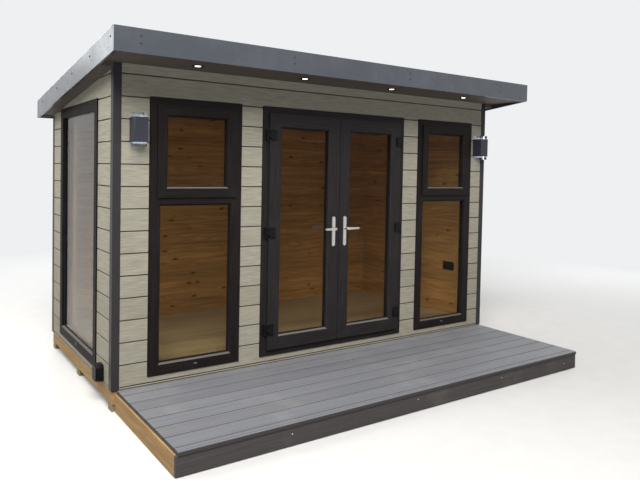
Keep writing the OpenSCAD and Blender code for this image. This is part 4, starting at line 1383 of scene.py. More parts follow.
class Assembly:
    """A part of the pod that is built and dressed together."""

    def build(self, shop: Workshop) -> None:
        """Builds and dresses the pieces, with the shared trees, patterns and finishes."""
        raise NotImplementedError


@dataclass
class Base(Assembly):
    """Ground bearers, floor frame, insulated walls and floor panel.

    Attributes:
        arris: Eased edge of the sawn timber.
        bearers: Finish of the ground bearers.
        rims: Finish of the floor frame and the deck's joists.
    """

    arris: float = 0.0015
    bearers: GrainFinish = GrainFinish("treated_timber", (0.37, 0.31, 0.18), (0.25, 0.20, 0.11), across=46.0,
                                       rings=0.55, roughness=0.75, depth=0.0008, dirt=0.3)
    rims: GrainFinish = GrainFinish("raw_timber", (0.50, 0.33, 0.155), (0.36, 0.22, 0.092), across=42.0,
                                    run=Axis.Y, rings=0.6, roughness=0.66, depth=0.0007, dirt=0.12)

    def build(self, shop: Workshop) -> None:
        """Dresses the base and the walls' insulated panels."""
        dress(self.bearers.material(), "base_bearers")
        dress(self.rims.material(), "floor_frame", "deck_joists")
        dress(shop.palette.sheathing, "floor_panel", "front_wall_sill", "front_wall_piers", "front_wall_head",
              "left_wall", "right_wall", "back_wall", "roof_panel")
        soften(self.arris, "base_bearers", "floor_frame", "deck_joists")


@dataclass
class Deck(Assembly):
    """Composite deck boards and their fascia.

    Attributes:
        pitch: Distance from board to board.
        nosing: Width of the front board.
        gap: Gap behind it.
        skirt: Finish of the fascia.
        screw: Radius of the fascia screws.
        screws: The fascia screws, from the left of the body and the ground.
    """

    pitch: float = 0.148
    nosing: float = 0.052
    gap: float = 0.005
    skirt: GrainFinish = GrainFinish("deck_fascia", (0.098, 0.090, 0.090), (0.066, 0.060, 0.060),
                                     across=150.0, along=2.0, roughness=0.62, dirt=0.14)
    screw: float = 0.004
    screws: tuple[tuple[float, float], ...] = ((0.762, 0.077), (1.787, 0.086), (2.665, 0.084), (3.468, 0.062))

    def build(self, shop: Workshop) -> None:
        """Dresses the boards and the fascia, and sets its screws."""
        boards = node_box("deck_boards")
        count = BoardCount(Axis.Y, boards.low.y + self.nosing + self.gap / 2, self.pitch)
        # joint, shade and sides paint shade in the gaps and on the boards' upright faces.
        finish = GrainFinish("deck_composite", (0.254, 0.263, 0.286), (0.184, 0.192, 0.213),
                             tints=((0.25, 0.246, 0.256), (0.200, 0.212, 0.240)), across=300.0, along=2.2,
                             boards=count, change=0.07, roughness=0.60, depth=0.0005, dirt=0.34, joint=0.0030,
                             shade=(0.036, 0.034, 0.036), sides=(0.050, 0.045, 0.043), lines=0.22)
        dress(finish.material(), "deck_boards")
        dress(self.skirt.material(), "deck_fascia")
        soften(FINE_ARRIS, "deck_fascia")
        face, left = node_box("deck_fascia").low.y, node_box("front_cladding").low.x
        spots = [(Vector((left + x, face, z)), FRONT) for x, z in self.screws]
        shop.screws("deck_fascia_screws", spots, self.screw, Slot.STEEL, 11, shop.palette.steel)


@dataclass
class Cladding(Assembly):
    """Composite boards on the outer walls, and the trims at their corners.

    Attributes:
        profile: Section of the boards.
        first_joint: Height of the lowest board's foot before it is cut.
        clear: Shadow gap round the frames.
        trim_arris: Eased edge of the corner trims.
    """

    profile: BoardProfile = BoardProfile(0.150, 0.006, 0.008, 0.0024, 0.0010)
    first_joint: float = 0.015
    clear: float = 0.004
    trim_arris: float = 0.0009

    def finish(self, name: str, run: Axis) -> Material:
        """The boards' embossed finish, along one wall, with painted shade along the joints."""
        # joint and shade paint shade along the grooves between the boards.
        return GrainFinish(name, (0.462, 0.440, 0.362), (0.285, 0.265, 0.208),
                           tints=((0.43, 0.385, 0.300), (0.37, 0.375, 0.310)), run=run, across=175.0,
                           along=9.0, change=0.06,
                           boards=BoardCount(Axis.Z, self.first_joint, self.profile.pitch),
                           rings=0.22, roughness=0.66, depth=0.0008, dirt=0.05, joint=0.0036,
                           joint_at=-self.profile.groove / 2, shade=(0.050, 0.042, 0.032)).material()

    def build(self, shop: Workshop) -> None:
        """Lays the boards on the four walls and dresses the trims."""
        fronts = tuple(node_box(n) for n in FRONT_FRAMES)
        sides = (node_box("side_window_frame"),)
        long_finish = self.finish("cladding_composite", Axis.X)
        side_finish = self.finish("side_cladding_composite", Axis.Y)
        for node, run, outward, openings, finish in (
                ("front_cladding", Axis.X, -1, fronts, long_finish),
                ("back_cladding", Axis.X, 1, (), long_finish),
                ("left_cladding", Axis.Y, -1, sides, side_finish),
                ("right_cladding", Axis.Y, 1, (), side_finish)):
            wall = Wall(node + "_boards", node_box(node), run, outward, side_line(node, upper=True), openings)
            boards = wall.lay(shop, self.profile, self.first_joint, self.clear, finish)
            settle(boards, BUILDING, Slot.CLADDING, node)
        dress(shop.palette.trim, "corner_trims")
        soften(self.trim_arris, "corner_trims")


@dataclass
class Room(Assembly):
    """Pine linings on the walls, in the reveals and on the ceiling, and the floor boards.

    Attributes:
        profile: Section of the wall boards.
        start: Height of the lowest board's foot before it is cut.
        thickness: Thickness of the linings.
        joint: Gap at the corners.
        reveal_arris: Eased edge of the boards in the reveals.
        plank_width: Width of a floor board.
        plank_lengths: Shortest and longest floor board.
        plank_first: Shortest and longest first board of a row, as shares of the longest.
        plank_last: Length under which what is left of a row joins the board before it.
        plank_gap: Gap between floor boards.
        plank_seed: Seed for the lengths of the floor boards.
    """

    profile: BoardProfile = BoardProfile(0.096, 0.001, 0.0045, 0.003, 0.003)
    start: float = 0.142
    thickness: float = 0.012
    joint: float = 0.001
    reveal_arris: float = 0.0006
    plank_width: float = 0.137
    plank_lengths: tuple[float, float] = (0.8, 1.5)
    plank_first: tuple[float, float] = (0.3, 1.0)
    plank_last: float = 0.25
    plank_gap: float = 0.0006
    plank_seed: int = 23

    def finish(self, name: str, run: Axis, count: BoardCount | None = None) -> Material:
        """Pine with knots, along one wall or the ceiling."""
        boards = count or BoardCount(Axis.Z, self.start, self.profile.pitch)
        return GrainFinish(name, (0.84, 0.44, 0.145), (0.42, 0.165, 0.042),
                           tints=((0.77, 0.39, 0.12), (0.70, 0.40, 0.155)), run=run, across=52.0, along=2.4,
                           boards=boards, change=0.16, rings=0.65, knots=(0.17, 0.065, 0.022), roughness=0.52,
                           depth=0.0003).material()

    def build(self, shop: Workshop) -> None:
        """Lines the room."""
        self.line_walls(shop)
        self.line_reveals()
        self.line_ceiling(shop)
        self.lay_floor(shop)

    def line_walls(self, shop: Workshop) -> None:
        """Lays the boards on the four walls."""
        x0, x1 = node_box("left_wall").high.x, node_box("right_wall").low.x
        y0, y1 = node_box("front_wall_sill").high.y, node_box("back_wall").low.y
        foot = node_box("wall_linings").low.z
        roof = tuple(p - Axis.Z.reach(self.joint) for p in side_line("ceiling_lining", upper=False))
        top = max(p.z for p in roof)
        t, gap = self.thickness, self.thickness + self.joint
        fronts = tuple(node_box(n) for n in FRONT_FRAMES)
        sides = (node_box("side_window_frame"),)
        along = self.finish("pine_lining", Axis.X)
        deep = self.finish("side_pine_lining", Axis.Y)
        for name, low, high, run, outward, openings, finish in (
                ("front_lining_boards", (x0, y0), (x1, y0 + t), Axis.X, 1, fronts, along),
                ("back_lining_boards", (x0, y1 - t), (x1, y1), Axis.X, -1, (), along),
                ("left_lining_boards", (x0, y0 + gap), (x0 + t, y1 - gap), Axis.Y, 1, sides, deep),
                ("right_lining_boards", (x1 - t, y0 + gap), (x1, y1 - gap), Axis.Y, -1, (), deep)):
            box = Box(Vector((*low, foot)), Vector((*high, top)))
            wall = Wall(name, box, run, outward, roof, openings)
            boards = wall.lay(shop, self.profile, self.start, 0.0, finish)
            settle(boards, BUILDING, Slot.PINE, "wall_linings")

    def line_reveals(self) -> None:
        """Boxes the insides of the openings with boards."""
        y_face = node_box("front_wall_sill").high.y + self.thickness
        x_face = node_box("left_wall").high.x + self.thickness
        mesh = bmesh.new()
        for name in FRONT_FRAMES:
            box = node_box(name)
            self.box_opening(mesh, Axis.X, at(box.low, Axis.Y, box.high.y), at(box.high, Axis.Y, y_face))
        side = node_box("side_window_frame")
        self.box_opening(mesh, Axis.Y, at(side.low, Axis.X, side.high.x), at(side.high, Axis.X, x_face))
        finish = GrainFinish("reveal_pine", (0.79, 0.42, 0.135), (0.58, 0.26, 0.070), run=Axis.Z, across=52.0,
                             along=2.4, rings=0.6, roughness=0.52, depth=0.0003)
        settle(solid("reveal_boards", mesh, finish.material()), BUILDING, Slot.PINE, "wall_linings")

    def box_opening(self, mesh: BMesh, run: Axis, low: Vector, high: Vector) -> None:
        """Adds the four boards round one opening.

        Args:
            mesh: The mesh that they join.
            run: Direction of the opening's width.
            low: Lowest corner of the boarded reveal.
            high: Highest corner.
        """
        t, i = self.thickness, run.value
        foot, head = low + Axis.Z.reach(t), high - Axis.Z.reach(t)
        for board_low, board_high in ((low, at(high, Axis.Z, low.z + t)), (at(low, Axis.Z, high.z - t), high),
                                      (foot, at(head, run, low[i] + t)), (at(foot, run, high[i] - t), head)):
            plain_box(mesh, board_low, board_high, self.reveal_arris)

    def line_ceiling(self, shop: Workshop) -> None:
        """Lays the ceiling boards across the room, each a little lower than the one before."""
        box = node_box("ceiling_lining")
        foot, top = side_line("ceiling_lining", upper=False), side_line("ceiling_lining", upper=True)
        thick = top[0].z - foot[0].z
        pitch, ease, gap = self.profile.pitch, self.profile.top, self.profile.gap
        slope = (foot[1].z - foot[0].z) / (foot[1].y - foot[0].y)
        section = [(gap + ease, 0.0), (pitch - gap - ease, 0.0), (pitch - gap, ease), (pitch - gap, thick),
                   (gap, thick), (gap, ease)]
        mesh = bmesh.new()
        outline = [Vector((box.low.x, box.low.y + s, foot[0].z + s * slope + h)) for s, h in section]
        prism(mesh, outline, Axis.X.reach(box.size.x))
        cuts = bmesh.new()
        block(cuts, Vector((box.low.x - CUT_SIDE, box.high.y, box.low.z - CUT_ABOVE)),
              box.high + Vector((CUT_SIDE, CUT_ABOVE, CUT_ABOVE)))
        rows = math.ceil(box.size.y / pitch)
        finish = self.finish("ceiling_pine", Axis.X, BoardCount(Axis.Y, box.low.y, pitch))
        piece = shop.boards("ceiling_lining_boards", to_mesh("ceiling_board", mesh), rows,
                            Vector((0.0, pitch, pitch * slope)), to_mesh("ceiling_cuts", cuts), finish)
        settle(piece, BUILDING, Slot.PINE, "ceiling_lining")

    def lay_floor(self, shop: Workshop) -> None:
        """Lays floor boards with staggered ends."""
        box = node_box("floor_boards")
        chance = random.Random(self.plank_seed)
        spots: list[Spot] = []
        for row in range(math.ceil(box.size.y / self.plank_width)):
            y0 = box.low.y + row * self.plank_width
            width = min(self.plank_width, box.high.y - y0)
            x = box.low.x
            length = chance.uniform(*self.plank_first) * self.plank_lengths[1]
            while box.high.x - x > SAME_CORNER:
                if box.high.x - (x + length) < self.plank_last:
                    length = box.high.x - x
                middle = Vector((x + length / 2, y0 + width / 2, box.low.z))
                spots.append((middle, Vector((length - self.plank_gap, width - self.plank_gap, box.size.z))))
                x += length
                length = chance.uniform(*self.plank_lengths)
        finish = GrainFinish("floor_boards", (0.58, 0.41, 0.24), (0.44, 0.29, 0.155), across=48.0, along=1.8,
                             boards=BoardCount(Axis.Y, box.low.y, self.plank_width), change=0.18, rings=0.5,
                             roughness=0.42, depth=0.0002)
        values = {"Plank": shop.patterns[Pattern.PLANK], "Material": finish.material()}
        piece = shop.planks.grow("floor_planks", points_mesh("floor_planks", spots), values)
        settle(piece, BUILDING, Slot.FLOOR, "floor_boards")


@dataclass
class Roof(Assembly):
    """Metal edge, membrane and soffits of the roof, with their fixings.

    Attributes:
        soffit: Finish of the soffits.
        screw: Radius of the screws in the fascias and verges.
        pairs: Number of pairs of screws along a fascia.
        pair_spacing: Distance from pair to pair.
        pair_start: Distance of the first pair from the left of the body.
        pair_gap: Distance between the two screws of a pair.
        pair_rise: Height of a pair's middle above the middle of the fascia.
        verge_ys: Places of the verge screws, from the front of the body.
        verge_rise: Height of the verge screws above the foot of the verge.
        soffit_screw: Radius of the soffit screws.
        soffit_step: Spacing of the soffit screws.
        soffit_ys: Their two rows, from the front of the body.
    """

    soffit: GrainFinish = GrainFinish("soffit_board", (0.145, 0.122, 0.104), (0.105, 0.086, 0.072),
                                      across=70.0, along=2.0, roughness=0.6, depth=0.0003, dirt=0.04)
    screw: float = 0.0070
    pairs: int = 4
    pair_spacing: float = 1.107
    pair_start: float = 0.045
    pair_gap: float = 0.046
    pair_rise: float = 0.010
    verge_ys: tuple[float, ...] = (-0.328, 0.138, 0.618, 1.108, 1.641)
    verge_rise: float = 0.100
    soffit_screw: float = 0.0042
    soffit_step: float = 0.600
    soffit_ys: tuple[float, ...] = (-0.360, -0.025)

    def build(self, shop: Workshop) -> None:
        """Dresses the roof and sets its screws."""
        dress(shop.palette.metal, "front_fascia", "roof_verges", "back_fascia")
        dress(MembraneFinish("roof_rubber").material(), "roof_covering")
        dress(self.soffit.material(), "soffits")
        soften(FINE_ARRIS, "front_fascia", "back_fascia", "roof_verges")
        origin = node_box("front_cladding").low
        shop.screws("fascia_screws", self.fascia_spots(origin), self.screw, Slot.METAL, 3)
        shop.screws("verge_screws", self.verge_spots(origin), self.screw, Slot.METAL, 8)
        shop.screws("soffit_screws", self.soffit_spots(origin), self.soffit_screw, Slot.SOFFIT, 5)

    def fascia_spots(self, origin: Vector) -> list[Spot]:
        """Pairs of screws along the front and back fascias."""
        front, back = node_box("front_fascia"), node_box("back_fascia")
        return [(Vector((origin.x + self.pair_start + i * self.pair_spacing, y,
                         box.mid.z + self.pair_rise + rise * self.pair_gap)), facing)
                for box, y, facing in ((front, front.low.y, FRONT), (back, back.high.y, BACK))
                for i in range(self.pairs) for rise in (-0.5, 0.5)]

    def verge_spots(self, origin: Vector) -> list[Spot]:
        """A row of screws along both verges."""
        box, foot = node_box("roof_verges"), side_line("roof_verges", upper=False)
        return [(Vector((x, origin.y + y, height_on(foot, origin.y + y) + self.verge_rise)), facing)
                for x, facing in ((box.low.x, LEFT), (box.high.x, RIGHT)) for y in self.verge_ys]

    def soffit_spots(self, origin: Vector) -> list[Spot]:
        """Two rows of screws under the front soffit."""
        foot, body = node_box("front_fascia").low.z, node_box("front_cladding")
        count = int(body.size.x / self.soffit_step)
        start = body.mid.x - count / 2 * self.soffit_step
        return [(Vector((start + i * self.soffit_step, origin.y + y, foot)), DOWN)
                for i in range(count + 1) for y in self.soffit_ys]


@dataclass(frozen=True)
class GlazedUnit:
    """A sealed double-glazed unit in the place of one packed pane.

    Attributes:
        box: The unit's space.
        through: Direction through the glass.
        hold: How deep its edges sit in the frame.
        sheet: Thickness of each pane.
        sheet_arris: Eased edge of the panes.
        spacer: Inner edge of the spacer bar, from the edge of the unit.
        bar: Width of the spacer bar.
        bead: Radius of the gaskets.
        bead_in: How far a gasket's middle lies inside the frame's edge, as a share of the radius.
        bead_out: How far it stands out of the glass, as a share of the radius.
    """

    box: Box
    through: Axis
    hold: float = 0.012
    sheet: float = 0.004
    sheet_arris: float = 0.0004
    spacer: float = 0.0135
    bar: float = 0.007
    bead: float = 0.0028
    bead_in: float = 0.4
    bead_out: float = 0.35

    @property
    def width_axis(self) -> Axis:
        """The horizontal direction along the glass."""
        return Axis.X if self.through is Axis.Y else Axis.Y

    def panes(self, mesh: BMesh) -> None:
        """Adds the two sheets of glass."""
        low, high, i = self.box.low, self.box.high, self.through.value
        plain_box(mesh, low, at(high, self.through, low[i] + self.sheet), self.sheet_arris)
        plain_box(mesh, at(low, self.through, high[i] - self.sheet), high, self.sheet_arris)

    def bars(self, mesh: BMesh) -> None:
        """Adds the spacer bars between the sheets."""
        inside = self.through.reach(self.sheet)
        low, high = self.box.low + inside, self.box.high - inside
        edge = self.spacer - self.bar
        for across, along, inset in ((Axis.Z, self.width_axis, edge), (self.width_axis, Axis.Z, self.spacer)):
            ends = along.reach(inset)
            for start in (low[across.value] + edge, high[across.value] - self.spacer):
                block(mesh, at(low + ends, across, start), at(high - ends, across, start + self.bar))

    def gaskets(self) -> list[list[Vector]]:
        """The lines of the gaskets on both faces of the unit."""
        inset = self.hold + self.bead * self.bead_in
        margin = self.width_axis.reach(inset) + Axis.Z.reach(inset)
        low, high, width = self.box.low + margin, self.box.high - margin, self.width_axis
        i, proud = self.through.value, self.bead * self.bead_out
        return [[at(at(at(low, self.through, face), width, u), Axis.Z, z)
                 for u, z in ((low[width.value], low.z), (high[width.value], low.z),
                              (high[width.value], high.z), (low[width.value], high.z))]
                for face in (low[i] - proud, high[i] + proud)]


def glaze(shop: Workshop, units: list[GlazedUnit], name: str, node: str, body: str) -> None:
    """Builds the sheets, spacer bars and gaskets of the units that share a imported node.

    Args:
        shop: The shared trees and finishes.
        units: The glazed units.
        name: Start of the pieces' names.
        node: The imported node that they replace.
        body: The body that they ride on.
    """
    sheets, bars, loops = bmesh.new(), bmesh.new(), []
    for unit in units:
        unit.panes(sheets)
        unit.bars(bars)
        loops.extend(unit.gaskets())
    settle(solid(name + "_panes", sheets, shop.palette.glass), body, Slot.GLASS, node)
    settle(solid(name + "_spacer_bars", bars, shop.palette.rubber), body, Slot.PLASTIC)
    shop.gaskets(name + "_gaskets", loops, units[0].bead, body)


@dataclass
class Windows(Assembly):
    """The two front windows with their opener sashes, and the tall side window.

    Attributes:
        cross: Height of the transom's middle above the foot of a frame.
        cross_half: Half the face of the transom.
        drain_rise: Height of the drain caps above the foot of a frame.
        drain: Half the length of a drain cap.
    """

    cross: float = 1.219
    cross_half: float = 0.043
    drain_rise: float = 0.041
    drain: float = 0.013

    def build(self, shop: Workshop) -> None:
        """Dresses the frames, glazes them and sets the drain caps."""
        left, right = node_box("left_window_frame"), node_box("right_window_frame")
        side = node_box("side_window_frame")
        cross = {"cross": self.cross, "cross_half": self.cross_half}
        for finish, nodes in (
                (FrameFinish.on("window_frame_foil", [left, right], **cross),
                 ("left_window_frame", "right_window_frame")),
                (FrameFinish.on("side_frame_foil", [side], Axis.Y, sheen=0.02), ("side_window_frame",)),
                (FrameFinish.on("sash_foil", solid_boxes("window_sashes")), ("window_sashes",))):
            dress(finish.material(), *nodes)
            soften(FINE_ARRIS, *nodes)
        units = [GlazedUnit(box, Axis.Y if box.size.x > box.size.y else Axis.X)
                 for box in solid_boxes("window_glass")]
        glaze(shop, units, "window", "window_glass", BUILDING)
        rise = Axis.Z.reach(self.drain_rise)
        spots = [(at(b.low, Axis.X, b.mid.x) + rise, FRONT) for b in (left, right)]
        spots.append((at(side.low, Axis.Y, side.mid.y) + rise, LEFT))
        shop.fix("drain_caps", Pattern.DRAIN_CAP, spots, self.drain, BUILDING, Slot.FRAME, shop.palette.drain)


@dataclass
class DoorLeaf(Assembly):
    """One door leaf with its glass, hinges, handle plates and lever.

    Attributes:
        side: Which leaf it is.
        key_drop: Height of the lock cylinder's middle below the lever.
        key_radius: Radius of the cylinder's plug.
        thin_arris: Eased edge of the plates and the hinges.
        lever_arris: Eased edge of the levers.
        base: Colour of the foil between the grain's streaks, lighter than on the windows as a painted sheen.
        streak: Colour of the streaks, lighter than on the windows as a painted sheen.
    """

    side: Side
    key_drop: float = 0.092
    key_radius: float = 0.0062
    thin_arris: float = 0.0008
    lever_arris: float = 0.0016
    # The door foil is painted lighter than the window foil, as a sheen.
    base: Colour = (0.0190, 0.0163, 0.0174)
    streak: Colour = (0.0345, 0.0300, 0.0312)

    def node(self, piece: str) -> str:
        """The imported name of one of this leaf's pieces."""
        return f"{self.side.value}_{piece}"

    def build(self, shop: Workshop) -> None:
        """Dresses the leaf, glazes it and adds the key plugs."""
        leaf, hinges, lever = self.node("leaf"), self.node("leaf_hinges"), self.node("lever")
        plates, glass, body = self.node("handle_plates"), self.node("leaf_glass"), self.node("door")
        foil = FrameFinish.on(leaf + "_foil", [node_box(leaf)], base=self.base, streak=self.streak)
        dress(foil.material(), leaf)
        dress(shop.palette.hinge, hinges)
        dress(shop.palette.steel, plates)
        dress(shop.palette.grip, lever)
        soften(FINE_ARRIS, leaf)
        soften(self.thin_arris, plates, hinges)
        soften(self.lever_arris, lever)
        glaze(shop, [GlazedUnit(node_box(glass), Axis.Y)], leaf, glass, body)
        box, z = node_box(plates), node_box(lever).mid.z - self.key_drop
        spots = [(Vector((box.mid.x, box.low.y, z)), FRONT), (Vector((box.mid.x, box.high.y, z)), BACK)]
        shop.fix(self.node("key_plugs"), Pattern.KEY_PLUG, spots, self.key_radius, body, Slot.STEEL,
                 shop.palette.grip)
        shop.fix(self.node("key_slots"), Pattern.KEY_SLOT, spots, self.key_radius, body, Slot.PLASTIC,
                 shop.palette.black)


@dataclass
class DoorFrame(Assembly):
    """The frame round the two leaves, with its halves of the hinges.

    Attributes:
        hinge_arris: Eased edge of the hinges.
        base: Colour of the foil between the grain's streaks, lighter than on the windows as a painted sheen.
        streak: Colour of the streaks, lighter than on the windows as a painted sheen.
    """

    hinge_arris: float = 0.0007
    # The door frame foil is painted lighter than the window foil, as a sheen.
    base: Colour = (0.0150, 0.0127, 0.0132)
    streak: Colour = (0.0290, 0.0250, 0.0256)

    def build(self, shop: Workshop) -> None:
        """Dresses the frame and the hinges."""
        foil = FrameFinish.on("door_frame_foil", [node_box("door_frame")], base=self.base, streak=self.streak)
        dress(foil.material(), "door_frame")
        dress(shop.palette.hinge, "frame_hinges")
        soften(FINE_ARRIS, "door_frame")
        soften(self.hinge_arris, "frame_hinges")


@dataclass
class WallLights(Assembly):
    """The two up and down lights beside the windows.

    Attributes:
        lip: How far the back plate runs past the ends of a body.
        recess: Depth of the lamp recess.
        back: Distance from the front of a light to the middle of its body.
        lamp: Radius of the lamp.
        tint: Colour of the lamps' glass.
        index: The glass's index of refraction.
    """

    lip: float = 0.015
    recess: float = 0.012
    back: float = 0.052
    lamp: float = 0.026
    tint: Colour = (0.86, 0.91, 0.96)
    index: float = 1.14

    def build(self, shop: Workshop) -> None:
        """Dresses the lights and sets their lamps."""
        lights = node_box("wall_lights")
        # Reach of the painted glow in the lamp glass, up to the ends of the bodies.
        lit = (lights.mid.z, lights.size.z / 2 - self.lip)
        dress(shop.palette.light_body, "wall_lights")
        dress(GlassFinish("lamp_glass", self.tint, self.index, lit).material(), "wall_light_glasses")
        soften(FINE_ARRIS, "wall_lights")
        inset = self.lip + self.recess
        spots = [(Vector((box.mid.x, box.low.y + self.back, z)), facing) for box in solid_boxes("wall_lights")
                 for z, facing in ((box.low.z + inset, DOWN), (box.high.z - inset, UP))]
        shop.fix("lamp_reflectors", Pattern.REFLECTOR, spots, self.lamp, BUILDING, Slot.STEEL,
                 shop.palette.steel)
        shop.fix("lamp_lenses", Pattern.LENS, spots, self.lamp, BUILDING, Slot.LAMP, shop.palette.lamp_lens)


@dataclass
class Downlights(Assembly):
    """Round lights in the front soffit.

    Attributes:
        lens: Radius of the lens.
        seat: Height of the lens above the foot of the bezel.
    """

    lens: float = 0.0230
    seat: float = 0.0016

    def build(self, shop: Workshop) -> None:
        """Dresses the bezels and sets the lenses."""
        dress(shop.palette.bezel, "downlights")
        spots = [(at(b.mid, Axis.Z, b.low.z + self.seat), DOWN) for b in solid_boxes("downlights")]
        shop.fix("downlight_lenses", Pattern.LENS, spots, self.lens, BUILDING, Slot.LAMP,
                 shop.palette.downlight_lens)


@dataclass
class Electrics(Assembly):
    """The cable box outside and the double socket inside.

    Attributes:
        lid_x: Half the distance between the lid screws, across.
        lid_z: Half the distance between them, upwards.
        lid_screw: Radius of the lid screws.
        gland: Height of the gland below the box.
        socket_half: Half the distance between the two sockets.
        pins: A socket's openings: place across and up from its middle, width and height.
        pin_cut: How far the cut for an opening runs out of the rockers' plane and into the plate.
        key: Half the width of a rocker.
        key_pull: How far a rocker sits from its socket's middle, as a share of socket_half.
        key_rise: Height of a rocker's foot and top above the middle of the plate.
        key_depth: How far a rocker runs into the plate.
        plate_back: How far the plate's face lies behind the rockers.
        plate_arris: Eased edge of the plate.
        key_arris: Eased edge of the rockers.
    """

    lid_x: float = 0.030
    lid_z: float = 0.040
    lid_screw: float = 0.0035
    gland: float = 0.006
    socket_half: float = 0.036
    pins: tuple[tuple[float, float, float, float], ...] = (
        (0.0, -0.004, 0.0045, 0.0085), (-0.011, -0.026, 0.0070, 0.0045), (0.011, -0.026, 0.0070, 0.0045))
    pin_cut: tuple[float, float] = (0.010, 0.008)
    key: float = 0.006
    key_pull: float = 0.45
    key_rise: tuple[float, float] = (0.014, 0.034)
    key_depth: float = 0.004
    plate_back: float = 0.002
    plate_arris: float = 0.0015
    key_arris: float = 0.0008

    def build(self, shop: Workshop) -> None:
        """Dresses the box, sets its screws and builds the socket's face."""
        dress(shop.palette.black, "cable_box")
        soften(FINE_ARRIS, "cable_box")
        box = node_box("cable_box")
        middle = (box.low.z + self.gland + box.high.z) / 2
        spots = [(Vector((box.low.x, box.mid.y + u * self.lid_x, middle + v * self.lid_z)), LEFT)
                 for u in (-1, 1) for v in (-1, 1)]
        shop.screws("cable_box_screws", spots, self.lid_screw, Slot.PLASTIC, 7)
        self.build_socket(shop)

    def build_socket(self, shop: Workshop) -> None:
        """Builds the socket plate with its pin openings and rockers."""
        box = node_box("wall_socket")
        face, middle = box.low.x, box.mid
        plate, cuts, rockers = bmesh.new(), bmesh.new(), bmesh.new()
        plain_box(plate, box.low + Axis.X.reach(self.plate_back), box.high, self.plate_arris)
        (cut_out, cut_in), (key_low, key_high) = self.pin_cut, self.key_rise
        for u in (-self.socket_half, self.socket_half):
            for across, up, wide, tall in self.pins:
                y, z = middle.y + u + across, middle.z + up
                block(cuts, Vector((face - cut_out, y - wide / 2, z - tall / 2)),
                      Vector((face + cut_in, y + wide / 2, z + tall / 2)))
            y = middle.y + u - u * self.key_pull
            plain_box(rockers, Vector((face, y - self.key, middle.z + key_low)),
                      Vector((face + self.key_depth, y + self.key, middle.z + key_high)), self.key_arris)
        piece = shop.boards("socket_plate", to_mesh("socket_plate", plate), 1, UP,
                            to_mesh("socket_cuts", cuts), shop.palette.black)
        settle(piece, BUILDING, Slot.PLASTIC, "wall_socket")
        settle(solid("socket_rockers", rockers, shop.palette.rubber), BUILDING, Slot.PLASTIC)


# Studio


@dataclass(frozen=True)
class Lamp:
    """A soft square lamp.

    Attributes:
        name: The lamp's name.
        place: Where it hangs.
        target: Where it points.
        size: Width of the lamp.
        power: Power in watts.
        colour: Colour of its light.
    """

    name: str
    place: Point
    target: Point
    size: float
    power: float
    colour: Colour

    def hang(self) -> None:
        """Puts the lamp in the scene, out of the camera's sight."""
        light = bpy.data.lights.new(self.name, "AREA")
        light.shape = "SQUARE"
        light.size = self.size
        light.energy = self.power
        light.color = self.colour
        lamp = bpy.data.objects.new(self.name, light)
        lamp.location = self.place
        lamp.visible_camera = False
        lamp.rotation_euler = (Vector(self.target) - Vector(self.place)).to_track_quat("-Z", "Y").to_euler()
        bpy.context.scene.collection.objects.link(lamp)


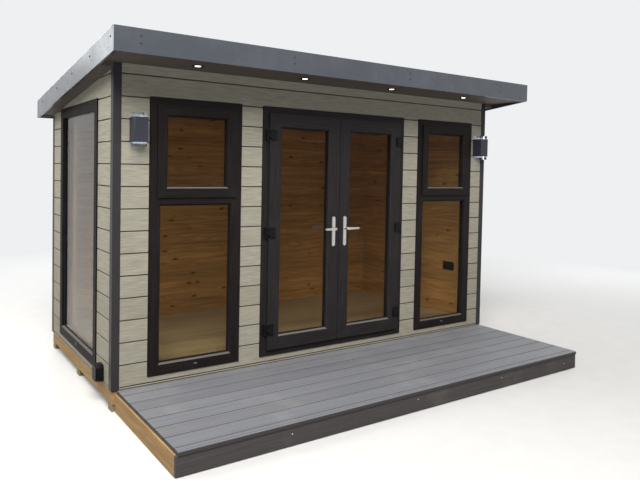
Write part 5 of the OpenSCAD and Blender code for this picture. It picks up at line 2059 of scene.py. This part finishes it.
@dataclass
class Studio:
    """Pale floor, soft lamps and the camera.

    Attributes:
        floor_half: Half the width of the floor.
        fade: Distances at which the floor begins and ends its fade into the background.
        floor_light: Share of the lamps' light that the floor throws back on the pod.
        floor_tones: The two tones that the camera sees on the floor.
        sky: Colour that the camera and reflections see.
        ambient: Strength of the light from all around.
        place: The camera's place.
        turn: The camera's rotation in degrees.
        sensor: Width of the camera's sensor in millimetres.
        lens: Focal length in millimetres.
        shift: The camera's lens shift.
        lamps: The lamps round the pod.
    """

    floor_half: float = 40.0
    fade: tuple[float, float] = (3.2, 8.0)
    floor_light: Colour = (0.09, 0.09, 0.087)
    floor_tones: tuple[Colour, Colour] = ((0.77, 0.77, 0.76), (0.80, 0.80, 0.79))
    sky: Colour = (0.86, 0.87, 0.88)
    ambient: float = 0.07
    place: Point = (-3.03170877, -4.4824468, 1.64000457)
    turn: Point = (88.16357604, -1.06546007, -33.92945693)
    sensor: float = 36.0
    lens: float = 34.656939
    shift: tuple[float, float] = (0.02247048, -0.07742456)
    lamps: tuple[Lamp, ...] = (
        Lamp("overhead_lamp", (0.3, -1.0, 7.5), (0.0, -0.3, 0.0), 7.0, 50.0, (1.0, 0.99, 0.97)),
        Lamp("key_lamp", (-4.2, -6.6, 8.4), (0.0, -0.2, 1.0), 6.0, 1470.0, (1.0, 0.98, 0.96)),
        Lamp("side_lamp", (-7.5, 2.0, 5.5), (0.0, 0.2, 1.0), 4.0, 290.0, (1.0, 0.97, 0.93)),
        Lamp("right_lamp", (8.0, 1.2, 2.0), (1.8, 0.6, 1.1), 3.2, 105.0, (1.0, 0.99, 0.98)),
        Lamp("back_lamp", (0.0, 9.5, 5.2), (0.0, 1.4, 1.0), 4.5, 480.0, (0.98, 0.99, 1.0)),
        Lamp("back_panel", (-5.5, 10.0, 5.3), (-1.9, 0.3, 2.3), 2.6, 56.0, (0.94, 1.0, 1.0)))

    def build(self) -> None:
        """Sets up the floor, the world, the lamps and the camera."""
        bpy.context.scene.view_settings.view_transform = "Standard"
        self.lay_floor()
        self.light_world()
        for lamp in self.lamps:
            lamp.hang()
        self.set_camera()

    def lay_floor(self) -> None:
        """Lays a pale floor that fades into the background far from the pod."""
        mesh = bmesh.new()
        h = self.floor_half
        mesh.faces.new([mesh.verts.new((x, y, 0.0)) for x, y in ((-h, -h), (h, -h), (h, h), (-h, h))])
        s = Shader("studio_floor")
        tone = s.blend(s.vary(s.noise(s.coords, scale=6.0)), *self.floor_tones)
        near = s.add("ShaderNodeBsdfPrincipled", {"Base Color": s.blend(s.seen(), self.floor_light, tone),
                                                  "Roughness": 0.9, "Specular IOR Level": 0.1})
        flat = s.add("ShaderNodeVectorMath", {0: s.coords, 1: (1.0, 1.0, 0.0)}, operation="MULTIPLY")
        far = s.add("ShaderNodeVectorMath", {0: flat.outputs[0]}, operation="LENGTH").outputs["Value"]
        glow = s.add("ShaderNodeEmission", {"Color": opaque(self.sky), "Strength": 1.0})
        material = s.end(s.either(s.spread(far, *self.fade), near, glow))
        solid("studio_floor", mesh, material)

    def light_world(self) -> None:
        """Makes the world pale for the camera and for reflections, and dimmer as a light."""
        world = bpy.data.worlds.new("studio")
        world.use_nodes = True
        bpy.context.scene.world = world
        tree = NodeBuilder(world.node_tree)
        light = tree.add("ShaderNodeBackground", {"Color": opaque(self.sky), "Strength": self.ambient})
        view = tree.add("ShaderNodeBackground", {"Color": opaque(self.sky), "Strength": 1.0})
        tree.add("ShaderNodeOutputWorld", {"Surface": tree.either(tree.seen(), light, view)})

    def set_camera(self) -> None:
        """Puts the camera where the view is taken from."""
        data = bpy.data.cameras.new("view")
        data.sensor_width = self.sensor
        data.lens = self.lens
        data.shift_x, data.shift_y = self.shift
        camera = bpy.data.objects.new("view", data)
        camera.location = self.place
        camera.rotation_euler = Euler([math.radians(a) for a in self.turn])
        bpy.context.scene.collection.objects.link(camera)
        bpy.context.scene.camera = camera


def main() -> None:
    """Builds the pod's sub-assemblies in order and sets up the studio."""
    logging.basicConfig(level=logging.INFO, format="%(name)s: %(message)s")
    shop = Workshop()
    parts: list[Assembly] = [Base(), Deck(), Cladding(), Room(), Roof(), Windows(), DoorFrame(),
                             DoorLeaf(Side.LEFT), DoorLeaf(Side.RIGHT), WallLights(), Downlights(),
                             Electrics()]
    for part in parts:
        log.info("building %s", type(part).__name__)
        part.build(shop)
    shop.clear()
    Studio().build()


if __name__ == "__main__":
    main()
